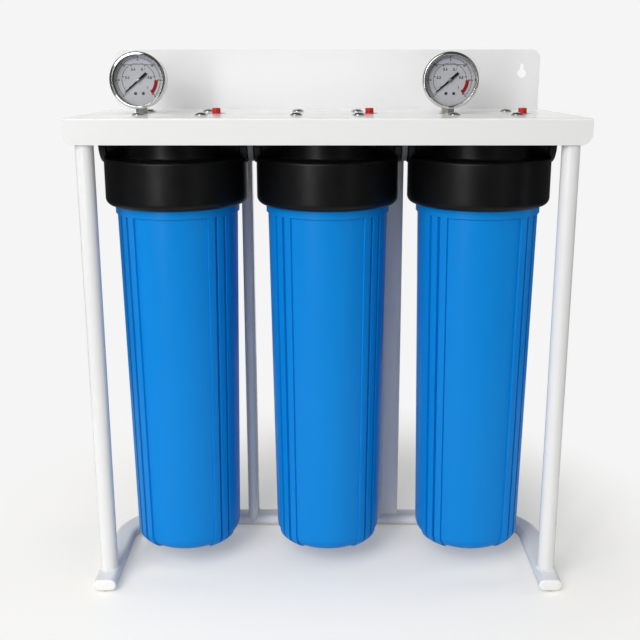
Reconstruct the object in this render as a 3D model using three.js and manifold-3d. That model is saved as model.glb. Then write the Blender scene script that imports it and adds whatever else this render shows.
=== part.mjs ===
// Three-stage water filter: three 20 inch housings hung under a folded steel bracket
// that stands on two front legs, two rear posts and a U-shaped base rail.
// Millimetres, +Z up, the front faces -Y. The pieces are laid out from the plane of the
// housing axes at y = 0 and from the floor at z = 0. The finished group is then moved
// along Y so that its origin lies on the floor under the middle of its box.

import * as THREE from 'three';
import { mergeVertices } from 'three/addons/utils/BufferGeometryUtils.js';
import Module from 'manifold-3d';

const wasm = await Module();
wasm.setup();

// Clearances and roundness
const fitGap = 0.3;            // between pieces that seat on or in each other
const overrun = 2;             // how far a cutting solid passes the face it cuts
const weldTolerance = 1e-4;    // vertices nearer than this are one vertex
const largeSides = 24;         // sides of a housing's round pieces
const gaugeSides = 20;         // sides of a gauge's round pieces
const mediumSides = 16;        // sides of legs, cartridges and ports
const smallSides = 10;         // sides of screws, buttons and small holes
const ovalSteps = 5;           // steps round each end of a flat-oval tube

// Bracket: flange, shelf and back plate folded from one sheet
const sheet = 2;
const bendRadius = 3;
const arcSteps = 4;           // steps round each arc of an extruded outline
const flangeReach = 12;        // from the cap rings' edge forward to the flange's front face
const plateReach = 11;         // from the cap rings' edge back to the back plate's rear face
const shelfFrontOverhang = 22; // from the legs' centre line to the flange's end
const shelfRearInset = 1;      // from the legs' centre line to the shelf's rear end
const flangeHeight = 31.4;
const flangeCorner = 14;
const backPlateRise = 79.6;
const backPlateCorner = 12;
const keyholeInset = 24;       // from the back plate's end to the keyhole
const keyholeRadius = 6;
const keyholeDrop = 31.5;      // from the plate's top edge to the round part's centre
const keyholeSlot = 5.5;
const keyholeReach = 13.5;     // from the round part's centre to the slot's top
const serviceHole = 12;        // radius of the shelf's holes round gauges and buttons
const screwHole = 3.5;

// Base rail: one flat-oval tube bent to a U, open to the front
const railWidth = 30;
const railHeight = 15;
const tubeWall = 1.5;
const glideHeight = 2;
const glideRadius = 5;
const glidePinRadius = 2.5;
const railRingGap = 3.5;       // from the outer rings' edge to the rail's centre line
const rearRunInset = 37;       // from the back plate's rear face to the rear run's centre line
const railBend = 60;
const bendSteps = 6;
const plugFace = 2.5;
const plugInsert = 12;
const plugChamfer = 1;
const plugReach = 21;          // from the flange's front face to the plugs' front face
const rearGlideInset = 66.5;   // from the rail's side to the rear glide
const frontGlideInset = 5;     // from the rail's front end to the glide's centre

// Legs and posts
const legRadius = 11;
const legInset = 1;            // between the leg and the flange's inner face
const leftPostShift = 12.2;    // outward from midway between the first two housings
const rightPostShift = 9;      // inward from midway between the last two housings
const postWidth = 30;
const postThickness = 15;

// Housings
const portReach = 2;           // from the cap ring's edge to a port's face
const cartridgeSeatDrop = 62.8; // from the shelf's underside to the cartridge's upper seat
const portDrop = 30.4;         // from the shelf's underside to the port axis
const portBossRadius = 30;
const portBore = 16.6;
const neckWall = 4;            // from the cavity's dome to the neck's outside
const ringWall = 10.6;         // from the ring's bore to its outside
const ringTopDrop = 52.4;      // from the shelf's underside to the ring's top
const ringHeight = 60;
const ringEdge = 4;
const threadGap = 1.1;         // between the sump's rim and the ring's bore
const sealWidth = 13;          // from the dome to the o-ring's centre line
const domeDrop = 55.4;         // from the shelf's underside to the cavity's roof
const centreBossRadius = 17;
const centreBore = 11;
const inletDropX = 46;
const inletDropRadius = 9;
const gaugePortX = -42;
const gaugePortRadius = 6.9;
const gaugePortDepth = 20;
const reliefX = 53.5;
const reliefBore = 5.8;
const reliefBoreDepth = 13;
const reliefPinBore = 2.8;
const screwOffset = 39;

// Sumps
const sumpBottom = 24.8;
const rimStep = 0.2;           // from the collar out to the rim
const rimDrop = 68.4;          // from the shelf's underside to the sump's rim
const collarProud = 2.3;       // from the body out to the collar
const collarHeight = 10.4;
const bodyTaper = 6.8;         // how much wider the body is at its top
const cornerRadius = 22;
const cornerHeight = 20;
const cornerSteps = 3;
const ribHeight = 1.9;
const ribHalfAngle = 4.1;
const ribPitchAngle = 10.3;
const ribGroupAngle = 49.8;
const ribFlankAngle = 1;
const panelSteps = 3;
const quarterTurn = 90;
const halfTurn = 180;
const fullTurn = 360;
const sumpWall = 7;
const sumpFloor = 6.2;
const cavityCorner = 8;
const rimWall = 11.3;
const seatHeight = 6;
const ringSection = 2.6;       // radius of the o-ring's section
const ringInset = 5.3;         // from the rim's outside to the o-ring's centre line
const ringProud = 1.1;         // how far the o-ring stands above the rim
const ringSectionSides = 6;

// Cartridges
const cartridgeLength = 508;
const cartridgeRadius = 57;
const capProud = 2;            // from the media out to the end caps
const capThickness = 12;
const coreRadius = 13;
const cartridgeSpace = 7;      // from the cartridge to the sump's wall at the bottom

// Nipples between the heads
const nippleReach = 20;
const nippleCollarHalf = 3.7;
const nippleTubeGap = 0.4;
const nippleCollarRadius = 28.5;
const nippleBore = 12;

// Screws, with heights measured from the shelf's top
const screwShank = 2.9;
const screwLength = 16;
const screwFlange = 8;
const screwFlangeHeight = 1.3;
const screwHeadRadius = 6.3;
const screwHeadHeight = 3.2;
const screwDomeShare = 0.68;

// Relief buttons and their springs
const buttonRadius = 5.4;
const buttonRise = 6.6;        // above the shelf's top
const buttonLength = 14.6;
const buttonEdge = 0.8;
const buttonPinRadius = 2.4;
const buttonPinLength = 6;
const springRadius = 4.1;
const springWire = 0.55;
const springTurns = 3;
const springStepsPerTurn = 8;
const springSides = 4;

// Gauges, with depths measured along Y from the stem's axis
const caseRise = 8.6;          // from the shelf's top to the case
const caseRadius = 33;
const caseBack = 13;
const caseFront = 16;
const caseWall = 1.2;
const caseEdge = 2.5;
const bezelWall = 2.17;
const bezelFront = 21.2;
const bezelLipReach = 4.5;     // from the case's outside in to the bezel's lip
const bezelLipDepth = 2.4;
const bezelSleeve = 7;
const bezelGap = 0.33;         // between the case and the bezel's sleeve
const bezelRound = 3;
const lensThickness = 2;
const dialThickness = 0.8;
const dialDepth = 10;
const dialHole = 1.6;
const pointerDepth = 12.8;
const pointerThickness = 0.8;
const pointerTip = 23;
const pointerTail = 13.5;
const pointerTipWidth = 0.5;
const pointerRootWidth = 1.6;
const pointerTailWidth = 3.4;
const pointerHub = 2.6;
const pointerShaft = 1.1;
const pointerZeroAngle = 221;  // degrees from +X, seen from the front
const socketAcross = 15;
const socketThread = 6.6;
const socketThreadLength = 12;
const socketSpigot = 5.8;
const socketSpigotRise = 7;
const socketFoot = 0.8;        // gap between the shelf and the square
const tubeRadius = 20;         // centre line of the Bourdon tube
const tubeThickness = 3;
const tubeDepth = 5;
const tubeOpenAngle = 100;
const movementHalf = 8;
const movementThickness = 3;
const movementShaftHole = 1.4;
const movementLinkWidth = 6;

// Each housing is sized outward from its cartridge
const mediaRadius = cartridgeRadius - capProud;
const bodyBottomRadius = cartridgeRadius + cartridgeSpace + sumpWall;
const bodyTopRadius = bodyBottomRadius + bodyTaper;
const collarRadius = bodyTopRadius + collarProud;
const rimRadius = collarRadius + rimStep;
const rimInnerRadius = rimRadius - rimWall;
const ringCentreRadius = rimRadius - ringInset;
const ringBore = rimRadius + threadGap;
const ringRadius = ringBore + ringWall;
const domeRadius = ringCentreRadius - sealWidth;
const neckRadius = domeRadius + neckWall;
const portHalf = ringRadius + portReach;
const housingPitch = 2 * (portHalf + fitGap + nippleCollarHalf);

// Places worked out from the sizes above
const cartridgeBottom = sumpBottom + sumpFloor + seatHeight + fitGap;
const cartridgeTop = cartridgeBottom + cartridgeLength;
const seatBottom = cartridgeTop + fitGap;
const shelfUnder = seatBottom + cartridgeSeatDrop;
const shelfTop = shelfUnder + sheet;
const bracketFront = ringRadius + flangeReach;
const bracketRear = ringRadius + plateReach;
const baseFront = bracketFront + plugReach;
const railRear = bracketRear - rearRunInset;
const railHalfSpan = housingPitch + ringRadius + railRingGap;
const shelfHalfFront = railHalfSpan + shelfFrontOverhang;
const shelfHalfRear = railHalfSpan - shelfRearInset;
const keyholeX = shelfHalfRear - keyholeInset;
const rearGlideX = railHalfSpan - rearGlideInset;
const leftPostX = -housingPitch / 2 - leftPostShift;
const rightPostX = housingPitch / 2 - rightPostShift;
const railCentreZ = glideHeight + railHeight / 2;
const railEnd = baseFront - plugFace;
const legY = -(bracketFront - sheet - legInset - legRadius);
const portZ = shelfUnder - portDrop;
const ringTop = shelfUnder - ringTopDrop;
const ringBottom = ringTop - ringHeight;
const domeTop = shelfUnder - domeDrop;
const rimZ = shelfUnder - rimDrop;
const seatZ = rimZ + ringProud + fitGap;
const gaugeZ = shelfTop + caseRise + caseRadius;
const bezelRadius = caseRadius + bezelGap + bezelWall;
const bezelLip = caseRadius - bezelLipReach;
const stages = [1, 2, 3];
const [firstStage, middleStage, lastStage] = stages;
const stageX = (stage) => (stage - middleStage) * housingPitch;
const gaugeStages = { left: firstStage, right: lastStage };

const finishes = {
  whitePowder: { color: 0xf0f0f0, roughness: 0.35, metalness: 0 },
  whitePlastic: { color: 0xf4f4f2, roughness: 0.5, metalness: 0 },
  clearRubber: { color: 0xb8b8b4, roughness: 0.8, metalness: 0 },
  blackPlastic: { color: 0x17181a, roughness: 0.45, metalness: 0 },
  bluePlastic: { color: 0x1a6fd4, roughness: 0.4, metalness: 0 },
  blackRubber: { color: 0x101010, roughness: 0.8, metalness: 0 },
  greyPlastic: { color: 0x3a3b3d, roughness: 0.6, metalness: 0 },
  filterMedia: { color: 0xe8e4d8, roughness: 0.9, metalness: 0 },
  redPlastic: { color: 0xc01810, roughness: 0.35, metalness: 0 },
  steel: { color: 0xc8c8c8, roughness: 0.25, metalness: 1 },
  brass: { color: 0xb59a5b, roughness: 0.35, metalness: 1 },
  dialGrey: { color: 0xd2d2d4, roughness: 0.6, metalness: 0 },
  blackPaint: { color: 0x0c0c0c, roughness: 0.5, metalness: 0 },
  clearPlastic: { color: 0xe6ecf0, roughness: 0.05, metalness: 0 },
};

// Shape helpers

function clean(geometry) {
  const bare = geometry.clone();
  bare.deleteAttribute('normal');
  bare.deleteAttribute('uv');
  const merged = mergeVertices(bare, weldTolerance);
  const position = merged.getAttribute('position');
  const source = merged.getIndex().array;
  const index = [];
  let volume = 0;
  const a = new THREE.Vector3();
  const b = new THREE.Vector3();
  const c = new THREE.Vector3();
  for (let i = 0; i < source.length; i += 3) {
    const [p, q, r] = [source[i], source[i + 1], source[i + 2]];
    if (p === q || q === r || r === p) continue;
    index.push(p, q, r);
    a.fromBufferAttribute(position, p);
    b.fromBufferAttribute(position, q);
    c.fromBufferAttribute(position, r);
    volume += a.dot(b.cross(c));
  }
  if (volume < 0) index.reverse();
  merged.setIndex(index);
  return merged;
}

function solid(geometry) {
  const closed = clean(geometry);
  const mesh = new wasm.Mesh({
    numProp: 3,
    vertProperties: new Float32Array(closed.getAttribute('position').array),
    triVerts: new Uint32Array(closed.getIndex().array),
  });
  return new wasm.Manifold(mesh);
}

function surface(body) {
  const mesh = body.getMesh();
  const geometry = new THREE.BufferGeometry();
  geometry.setAttribute('position', new THREE.BufferAttribute(mesh.vertProperties, mesh.numProp));
  geometry.setIndex(new THREE.BufferAttribute(mesh.triVerts, 1));
  return geometry;
}

function joined(first, ...rest) {
  return rest.reduce((sum, next) => sum.add(next), first);
}

function cut(body, ...tools) {
  return tools.reduce((left, tool) => left.subtract(tool), body);
}

// A rod from one place to another along the named axis
function rod(radius, from, to, axis = 'z', sides = mediumSides) {
  const geometry = new THREE.CylinderGeometry(radius, radius, Math.abs(to - from), sides);
  const middle = (from + to) / 2;
  if (axis === 'x') geometry.rotateZ(-Math.PI / 2).translate(middle, 0, 0);
  if (axis === 'y') geometry.translate(0, middle, 0);
  if (axis === 'z') geometry.rotateX(Math.PI / 2).translate(0, 0, middle);
  return geometry;
}

function block(x, y, z) {
  return new THREE.BoxGeometry(x[1] - x[0], y[1] - y[0], z[1] - z[0])
    .translate((x[0] + x[1]) / 2, (y[0] + y[1]) / 2, (z[0] + z[1]) / 2);
}

// A turned piece: the profile holds [radius, place along the axis] pairs
function turned(profile, axis = 'z', sides = mediumSides) {
  const points = profile.map(([radius, along]) => new THREE.Vector2(radius, along));
  const geometry = new THREE.LatheGeometry(points, sides);
  if (axis === 'z') geometry.rotateX(Math.PI / 2);
  if (axis === 'x') geometry.rotateZ(-Math.PI / 2);
  return clean(geometry);
}

// A skin over closed rings of equal length, with a fan across each end
function loft(rings) {
  const positions = [];
  const index = [];
  const count = rings[0].length;
  for (const ring of rings) for (const point of ring) positions.push(point.x, point.y, point.z);
  for (let level = 0; level + 1 < rings.length; level += 1) {
    for (let i = 0; i < count; i += 1) {
      const next = (i + 1) % count;
      const [p, q] = [level * count + i, level * count + next];
      index.push(p, q, q + count, p, q + count, p + count);
    }
  }
  for (const [level, first] of [[0, true], [rings.length - 1, false]]) {
    const middle = new THREE.Vector3();
    for (const point of rings[level]) middle.addScaledVector(point, 1 / count);
    const hub = positions.length / 3;
    positions.push(middle.x, middle.y, middle.z);
    for (let i = 0; i < count; i += 1) {
      const [p, q] = [level * count + i, level * count + ((i + 1) % count)];
      index.push(...(first ? [hub, q, p] : [hub, p, q]));
    }
  }
  const geometry = new THREE.BufferGeometry();
  geometry.setAttribute('position', new THREE.Float32BufferAttribute(positions, 3));
  geometry.setIndex(index);
  return clean(geometry);
}

// The outline of a flat oval: straight sides between two half rounds
function ovalOutline(width, height) {
  const round = Math.min(width, height) / 2;
  const reachX = width / 2 - round;
  const reachY = height / 2 - round;
  const points = [];
  for (const side of [1, -1]) {
    for (let i = 0; i <= ovalSteps; i += 1) {
      const start = width >= height ? -Math.PI / 2 : 0;
      const angle = start + Math.PI * (i / ovalSteps) + (side < 0 ? Math.PI : 0);
      const x = side * reachX + round * Math.cos(angle);
      const y = side * reachY + round * Math.sin(angle);
      points.push(new THREE.Vector2(x, y));
    }
  }
  return points;
}

function extrude(shape, depth, xAxis, yAxis) {
  const options = { depth, bevelEnabled: false, curveSegments: arcSteps };
  const geometry = new THREE.ExtrudeGeometry(shape, options);
  const zAxis = new THREE.Vector3().crossVectors(xAxis, yAxis);
  return geometry.applyMatrix4(new THREE.Matrix4().makeBasis(xAxis, yAxis, zAxis));
}

const alongX = new THREE.Vector3(1, 0, 0);
const alongY = new THREE.Vector3(0, 1, 0);
const alongZ = new THREE.Vector3(0, 0, 1);

// Bracket

function bracketSection() {
  const inner = bendRadius - sheet;
  const top = shelfTop;
  const plateTop = shelfTop + backPlateRise;
  const shape = new THREE.Shape();
  shape.moveTo(-bracketFront, top - flangeHeight);
  shape.lineTo(-bracketFront, top - bendRadius);
  shape.absarc(-bracketFront + bendRadius, top - bendRadius, bendRadius, Math.PI, Math.PI / 2, true);
  shape.lineTo(bracketRear - sheet - inner, top);
  shape.absarc(bracketRear - sheet - inner, top + inner, inner, -Math.PI / 2, 0, false);
  shape.lineTo(bracketRear - sheet, plateTop);
  shape.lineTo(bracketRear, plateTop);
  shape.lineTo(bracketRear, shelfUnder + bendRadius);
  shape.absarc(bracketRear - bendRadius, shelfUnder + bendRadius, bendRadius, 0, -Math.PI / 2, true);
  shape.lineTo(-bracketFront + bendRadius, shelfUnder);
  shape.absarc(-bracketFront + bendRadius, shelfUnder - inner, inner, Math.PI / 2, Math.PI, false);
  shape.lineTo(-bracketFront + sheet, top - flangeHeight);
  shape.closePath();
  return shape;
}

function bracketFrontOutline() {
  const bottom = shelfTop - flangeHeight;
  const lowX = shelfHalfFront - flangeCorner;
  const lowZ = bottom + flangeCorner;
  const highX = shelfHalfRear - backPlateCorner;
  const highZ = shelfTop + backPlateRise - backPlateCorner;
  const quarter = Math.PI / 2;
  const shape = new THREE.Shape();
  shape.moveTo(-lowX, bottom);
  shape.lineTo(lowX, bottom);
  shape.absarc(lowX, lowZ, flangeCorner, -quarter, 0, false);
  shape.lineTo(shelfHalfFront, shelfTop);
  shape.lineTo(shelfHalfRear, shelfTop);
  shape.lineTo(shelfHalfRear, highZ);
  shape.absarc(highX, highZ, backPlateCorner, 0, quarter, false);
  shape.lineTo(-highX, highZ + backPlateCorner);
  shape.absarc(-highX, highZ, backPlateCorner, quarter, 2 * quarter, false);
  shape.lineTo(-shelfHalfRear, shelfTop);
  shape.lineTo(-shelfHalfFront, shelfTop);
  shape.lineTo(-shelfHalfFront, lowZ);
  shape.absarc(-lowX, lowZ, flangeCorner, 2 * quarter, 3 * quarter, false);
  return shape;
}

function bracketPlanOutline() {
  const shape = new THREE.Shape();
  shape.moveTo(-shelfHalfFront, -bracketFront);
  shape.lineTo(shelfHalfFront, -bracketFront);
  shape.lineTo(shelfHalfRear, bracketRear);
  shape.lineTo(-shelfHalfRear, bracketRear);
  shape.closePath();
  return shape;
}

function screwPlaces() {
  const places = [];
  for (const stage of stages) {
    for (const [row, y] of [['front', -screwOffset], ['rear', screwOffset]]) {
      for (const [side, x] of [['left', -screwOffset], ['right', screwOffset]]) {
        places.push({ name: `screw_${stage}_${row}_${side}`, x: stageX(stage) + x, y });
      }
    }
  }
  return places;
}

function bracket() {
  const height = flangeHeight + backPlateRise;
  const depth = bracketFront + bracketRear;
  const folded = extrude(bracketSection(), 2 * shelfHalfFront, alongY, alongZ)
    .translate(-shelfHalfFront, 0, 0);
  const front = extrude(bracketFrontOutline(), depth, alongX, alongZ).translate(0, bracketRear, 0);
  const plan = extrude(bracketPlanOutline(), height, alongX, alongY)
    .translate(0, 0, shelfTop - flangeHeight);
  let sheetBody = solid(folded).intersect(solid(front)).intersect(solid(plan));
  const [low, high] = [shelfUnder - overrun, shelfTop + overrun];
  for (const { x, y } of screwPlaces()) {
    sheetBody = cut(sheetBody, solid(rod(screwHole, low, high, 'z', smallSides).translate(x, y, 0)));
  }
  const serviceX = stages.map((stage) => stageX(stage) + reliefX);
  for (const stage of Object.values(gaugeStages)) serviceX.push(stageX(stage) + gaugePortX);
  for (const x of serviceX) {
    sheetBody = cut(sheetBody, solid(rod(serviceHole, low, high).translate(x, 0, 0)));
  }
  const roundZ = shelfTop + backPlateRise - keyholeDrop;
  const slotTop = roundZ + keyholeReach - keyholeSlot / 2;
  const [near, far] = [bracketRear - sheet - overrun, bracketRear + overrun];
  for (const x of [-keyholeX, keyholeX]) {
    const round = rod(keyholeRadius, near, far, 'y').translate(x, 0, roundZ);
    const slot = block([x - keyholeSlot / 2, x + keyholeSlot / 2], [near, far], [roundZ, slotTop]);
    const end = rod(keyholeSlot / 2, near, far, 'y', smallSides).translate(x, 0, slotTop);
    sheetBody = cut(sheetBody, solid(round), solid(slot), solid(end));
  }
  return sheetBody;
}

// Base rail, legs and posts

function railStations(end) {
  const stations = [{ x: -railHalfSpan, y: -end, angle: Math.PI }];
  for (const [side, first] of [[-1, Math.PI], [1, Math.PI / 2]]) {
    for (let i = 0; i <= bendSteps; i += 1) {
      const angle = first - (Math.PI / 2) * (i / bendSteps);
      const x = side * (railHalfSpan - railBend) + railBend * Math.cos(angle);
      const y = railRear - railBend + railBend * Math.sin(angle);
      stations.push({ x, y, angle });
    }
  }
  stations.push({ x: railHalfSpan, y: -end, angle: 0 });
  return stations;
}

function railSweep(width, height, end) {
  const outline = ovalOutline(width, height);
  const rings = railStations(end).map(({ x, y, angle }) => outline.map((point) => new THREE.Vector3(
    x + point.x * Math.cos(angle),
    y + point.x * Math.sin(angle),
    railCentreZ + point.y,
  )));
  return loft(rings);
}

function glidePlaces() {
  const frontY = -railEnd + frontGlideInset;
  return [
    { name: 'glide_front_left', x: -railHalfSpan, y: frontY },
    { name: 'glide_front_right', x: railHalfSpan, y: frontY },
    { name: 'glide_rear_left', x: -rearGlideX, y: railRear },
    { name: 'glide_rear_right', x: rearGlideX, y: railRear },
  ];
}

function baseRail() {
  let rail = solid(railSweep(railWidth, railHeight, railEnd));
  const bore = railSweep(railWidth - 2 * tubeWall, railHeight - 2 * tubeWall, railEnd + overrun);
  rail = cut(rail, solid(bore));
  const holeRadius = glidePinRadius + fitGap;
  for (const { x, y } of glidePlaces()) {
    const hole = rod(holeRadius, 0, glideHeight + tubeWall + overrun, 'z', smallSides);
    rail = cut(rail, solid(hole.translate(x, y, 0)));
  }
  return rail;
}

// What a leg or post must clear where it is coped over the rail
function railClearance() {
  return solid(railSweep(railWidth + 2 * fitGap, railHeight + 2 * fitGap, railEnd));
}

function glide() {
  const top = glideHeight;
  return turned([
    [0, 0], [glideRadius, 0], [glideRadius, top],
    [glidePinRadius, top], [glidePinRadius, top + tubeWall], [0, top + tubeWall],
  ], 'z', smallSides);
}

function railPlug() {
  const insertGap = 2 * (tubeWall + fitGap);
  const levels = [
    [-baseFront, railWidth - 2 * plugChamfer, railHeight - 2 * plugChamfer],
    [-baseFront + plugChamfer, railWidth, railHeight],
    [-railEnd, railWidth, railHeight],
    [-railEnd, railWidth - insertGap, railHeight - insertGap],
    [-railEnd + plugInsert, railWidth - insertGap, railHeight - insertGap],
  ];
  return loft(levels.map(([y, width, height]) => ovalOutline(width, height)
    .map((point) => new THREE.Vector3(point.x, y, railCentreZ + point.y))));
}

function leg(x) {
  const tube = cut(
    solid(rod(legRadius, railCentreZ, shelfUnder)),
    solid(rod(legRadius - tubeWall, railCentreZ - overrun, shelfUnder + overrun)),
  );
  return cut(tube.translate([x, legY, 0]), railClearance());
}

function post(x, width, depth) {
  const prism = (inset, from, to) => loft([from, to].map((z) => ovalOutline(width - inset, depth - inset)
    .map((point) => new THREE.Vector3(x + point.x, railRear + point.y, z))));
  const tube = cut(
    solid(prism(0, railCentreZ, shelfUnder)),
    solid(prism(2 * tubeWall, railCentreZ - overrun, shelfUnder + overrun)),
  );
  return cut(tube, railClearance());
}

// Housing: head, sump, o-ring and cartridge

function head(stage) {
  const shell = turned([
    [0, ringBottom], [ringRadius - ringEdge, ringBottom], [ringRadius, ringBottom + ringEdge],
    [ringRadius, ringTop - ringEdge], [ringRadius - ringEdge, ringTop],
    [neckRadius, ringTop], [neckRadius, shelfUnder], [0, shelfUnder],
  ], 'z', largeSides);
  const cavity = turned([
    [0, ringBottom - overrun], [ringBore, ringBottom - overrun], [ringBore, seatZ],
    [domeRadius, seatZ], [domeRadius, domeTop], [0, domeTop],
  ], 'z', largeSides);
  const boss = rod(portBossRadius, -portHalf, portHalf, 'x').translate(0, 0, portZ);
  const seat = rod(centreBossRadius, seatBottom, domeTop + overrun);
  let body = joined(solid(shell), solid(boss));
  body = joined(cut(body, solid(cavity)), solid(seat));
  const top = shelfUnder + overrun;
  const holes = [
    rod(portBore, -portHalf - overrun, -centreBossRadius, 'x').translate(0, 0, portZ),
    rod(portBore, 0, portHalf + overrun, 'x').translate(0, 0, portZ),
    rod(centreBore, seatBottom - overrun, portZ),
    rod(inletDropRadius, domeTop - overrun, portZ, 'z', smallSides).translate(-inletDropX, 0, 0),
    rod(reliefBore, shelfUnder - reliefBoreDepth, top, 'z', mediumSides).translate(reliefX, 0, 0),
    rod(reliefPinBore, portZ, top, 'z', smallSides).translate(reliefX, 0, 0),
  ];
  if (Object.values(gaugeStages).includes(stage)) {
    const depth = shelfUnder - gaugePortDepth;
    holes.push(rod(gaugePortRadius, depth, top).translate(gaugePortX, 0, 0));
  }
  const screwBottom = shelfTop - screwLength - fitGap;
  for (const x of [-screwOffset, screwOffset]) {
    for (const y of [-screwOffset, screwOffset]) {
      holes.push(rod(screwShank + fitGap, screwBottom, top, 'z', smallSides).translate(x, y, 0));
    }
  }
  return cut(body, ...holes.map(solid));
}

// Directions round a sump, each with how much of a rib stands there
function sumpDirections() {
  const directions = [];
  const groups = [
    ribGroupAngle, halfTurn - ribGroupAngle, halfTurn + ribGroupAngle, fullTurn - ribGroupAngle,
  ];
  const groupHalf = ribPitchAngle + ribHalfAngle;
  groups.forEach((group, place) => {
    for (const offset of [-ribPitchAngle, 0, ribPitchAngle]) {
      const middle = group + offset;
      directions.push([middle - ribHalfAngle, 0], [middle - ribHalfAngle + ribFlankAngle, 1]);
      directions.push([middle + ribHalfAngle - ribFlankAngle, 1], [middle + ribHalfAngle, 0]);
    }
    const start = group + groupHalf;
    const wrap = place + 1 === groups.length ? fullTurn : 0;
    const end = groups[(place + 1) % groups.length] - groupHalf + wrap;
    for (let i = 1; i <= panelSteps; i += 1) {
      directions.push([start + (end - start) * (i / (panelSteps + 1)), 0]);
    }
  });
  return directions;
}

// One level of the sump's outside, with the ribs standing up by the given height
function sumpRing(radius, z, rib) {
  return sumpDirections().map(([degrees, share]) => {
    const angle = THREE.MathUtils.degToRad(degrees - quarterTurn);
    const reach = radius + rib * share;
    return new THREE.Vector3(reach * Math.cos(angle), reach * Math.sin(angle), z);
  });
}

function sump() {
  const collarTop = ringBottom - fitGap;
  const collarBottom = collarTop - collarHeight;
  const threadBottom = ringBottom + ringEdge;
  const rings = [
    sumpRing(rimRadius, rimZ, 0),
    sumpRing(rimRadius, threadBottom, 0),
    sumpRing(collarRadius, collarTop, 0),
    sumpRing(collarRadius, collarBottom, 0),
    sumpRing(bodyTopRadius, collarBottom - ribHeight, ribHeight),
  ];
  for (let i = 0; i <= cornerSteps; i += 1) {
    const angle = (Math.PI / 2) * (i / cornerSteps);
    const radius = bodyBottomRadius - cornerRadius * (1 - Math.cos(angle));
    const z = sumpBottom + cornerHeight * (1 - Math.sin(angle));
    rings.push(sumpRing(radius, z, ribHeight * Math.cos(angle)));
  }
  const floor = sumpBottom + sumpFloor;
  const lowRadius = bodyBottomRadius - sumpWall;
  const cavity = turned([
    [0, floor], [lowRadius - cavityCorner, floor], [lowRadius, floor + cavityCorner],
    [rimInnerRadius, collarBottom], [rimInnerRadius, rimZ + overrun], [0, rimZ + overrun],
  ], 'z', largeSides);
  const grooveHalf = ringSection + fitGap;
  const grooveBottom = rimZ + ringProud - 2 * ringSection - fitGap;
  const groove = turned([
    [ringCentreRadius - grooveHalf, grooveBottom], [ringCentreRadius + grooveHalf, grooveBottom],
    [ringCentreRadius + grooveHalf, rimZ + overrun], [ringCentreRadius - grooveHalf, rimZ + overrun],
    [ringCentreRadius - grooveHalf, grooveBottom],
  ], 'z', largeSides);
  const seat = cut(
    solid(rod(centreBossRadius, floor - overrun, floor + seatHeight)),
    solid(rod(centreBore, floor, floor + seatHeight + overrun)),
  );
  return joined(cut(solid(loft(rings)), solid(cavity), solid(groove)), seat);
}

function oRing() {
  return new THREE.TorusGeometry(ringCentreRadius, ringSection, ringSectionSides, largeSides)
    .translate(0, 0, rimZ + ringProud - ringSection);
}

function cartridge() {
  const [low, high] = [cartridgeBottom, cartridgeTop];
  return turned([
    [coreRadius, low], [cartridgeRadius, low], [cartridgeRadius, low + capThickness],
    [mediaRadius, low + capThickness], [mediaRadius, high - capThickness],
    [cartridgeRadius, high - capThickness], [cartridgeRadius, high], [coreRadius, high],
    [coreRadius, low],
  ]);
}

// Fittings between and on the heads

function nipple() {
  const collar = nippleCollarHalf;
  const reach = collar + fitGap + nippleReach;
  const tube = portBore - nippleTubeGap;
  return turned([
    [nippleBore, -reach], [tube, -reach], [tube, -collar], [nippleCollarRadius, -collar],
    [nippleCollarRadius, collar], [tube, collar], [tube, reach], [nippleBore, reach],
    [nippleBore, -reach],
  ], 'x').translate(0, 0, portZ);
}

function screw() {
  const shoulder = screwHeadHeight * screwDomeShare;
  return turned([
    [0, -screwLength], [screwShank, -screwLength], [screwShank, 0], [screwFlange, 0],
    [screwFlange, screwFlangeHeight], [screwHeadRadius, screwFlangeHeight],
    [screwHeadRadius, shoulder], [screwHeadRadius * screwDomeShare, screwHeadHeight],
    [0, screwHeadHeight],
  ], 'z', smallSides).translate(0, 0, shelfTop);
}

function reliefButton() {
  const top = shelfTop + buttonRise;
  const bottom = top - buttonLength;
  return turned([
    [0, bottom - buttonPinLength], [buttonPinRadius, bottom - buttonPinLength],
    [buttonPinRadius, bottom], [buttonRadius, bottom], [buttonRadius, top - buttonEdge],
    [buttonRadius - buttonEdge, top], [0, top],
  ], 'z', smallSides);
}

function reliefSpring() {
  const low = shelfUnder - reliefBoreDepth + fitGap + springWire;
  const high = shelfTop + buttonRise - buttonLength - fitGap - springWire;
  const rings = [];
  const steps = springTurns * springStepsPerTurn;
  for (let i = 0; i <= steps; i += 1) {
    const angle = 2 * Math.PI * (i / springStepsPerTurn);
    const outward = new THREE.Vector3(Math.cos(angle), Math.sin(angle), 0);
    const middle = outward.clone().multiplyScalar(springRadius).setZ(low + (high - low) * (i / steps));
    const ring = [];
    for (let k = 0; k < springSides; k += 1) {
      const turn = 2 * Math.PI * (k / springSides);
      const point = middle.clone().addScaledVector(outward, springWire * Math.cos(turn));
      ring.push(point.addScaledVector(alongZ, springWire * Math.sin(turn)));
    }
    rings.push(ring);
  }
  return loft(rings);
}

// Gauge pieces, laid out round the dial's centre with the face towards -Y

function gaugeCase() {
  const shell = turned([
    [0, caseBack], [caseRadius - caseEdge, caseBack], [caseRadius, caseBack - caseEdge],
    [caseRadius, -caseFront], [0, -caseFront],
  ], 'y', gaugeSides);
  const inside = turned([
    [0, caseBack - caseWall], [caseRadius - caseWall - caseEdge, caseBack - caseWall],
    [caseRadius - caseWall, caseBack - caseWall - caseEdge],
    [caseRadius - caseWall, -caseFront - overrun], [0, -caseFront - overrun],
  ], 'y', gaugeSides);
  const hole = rod(socketSpigot + fitGap, -caseRadius - overrun, -caseRadius / 2, 'z', smallSides);
  return cut(solid(shell), solid(inside), solid(hole));
}

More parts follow.
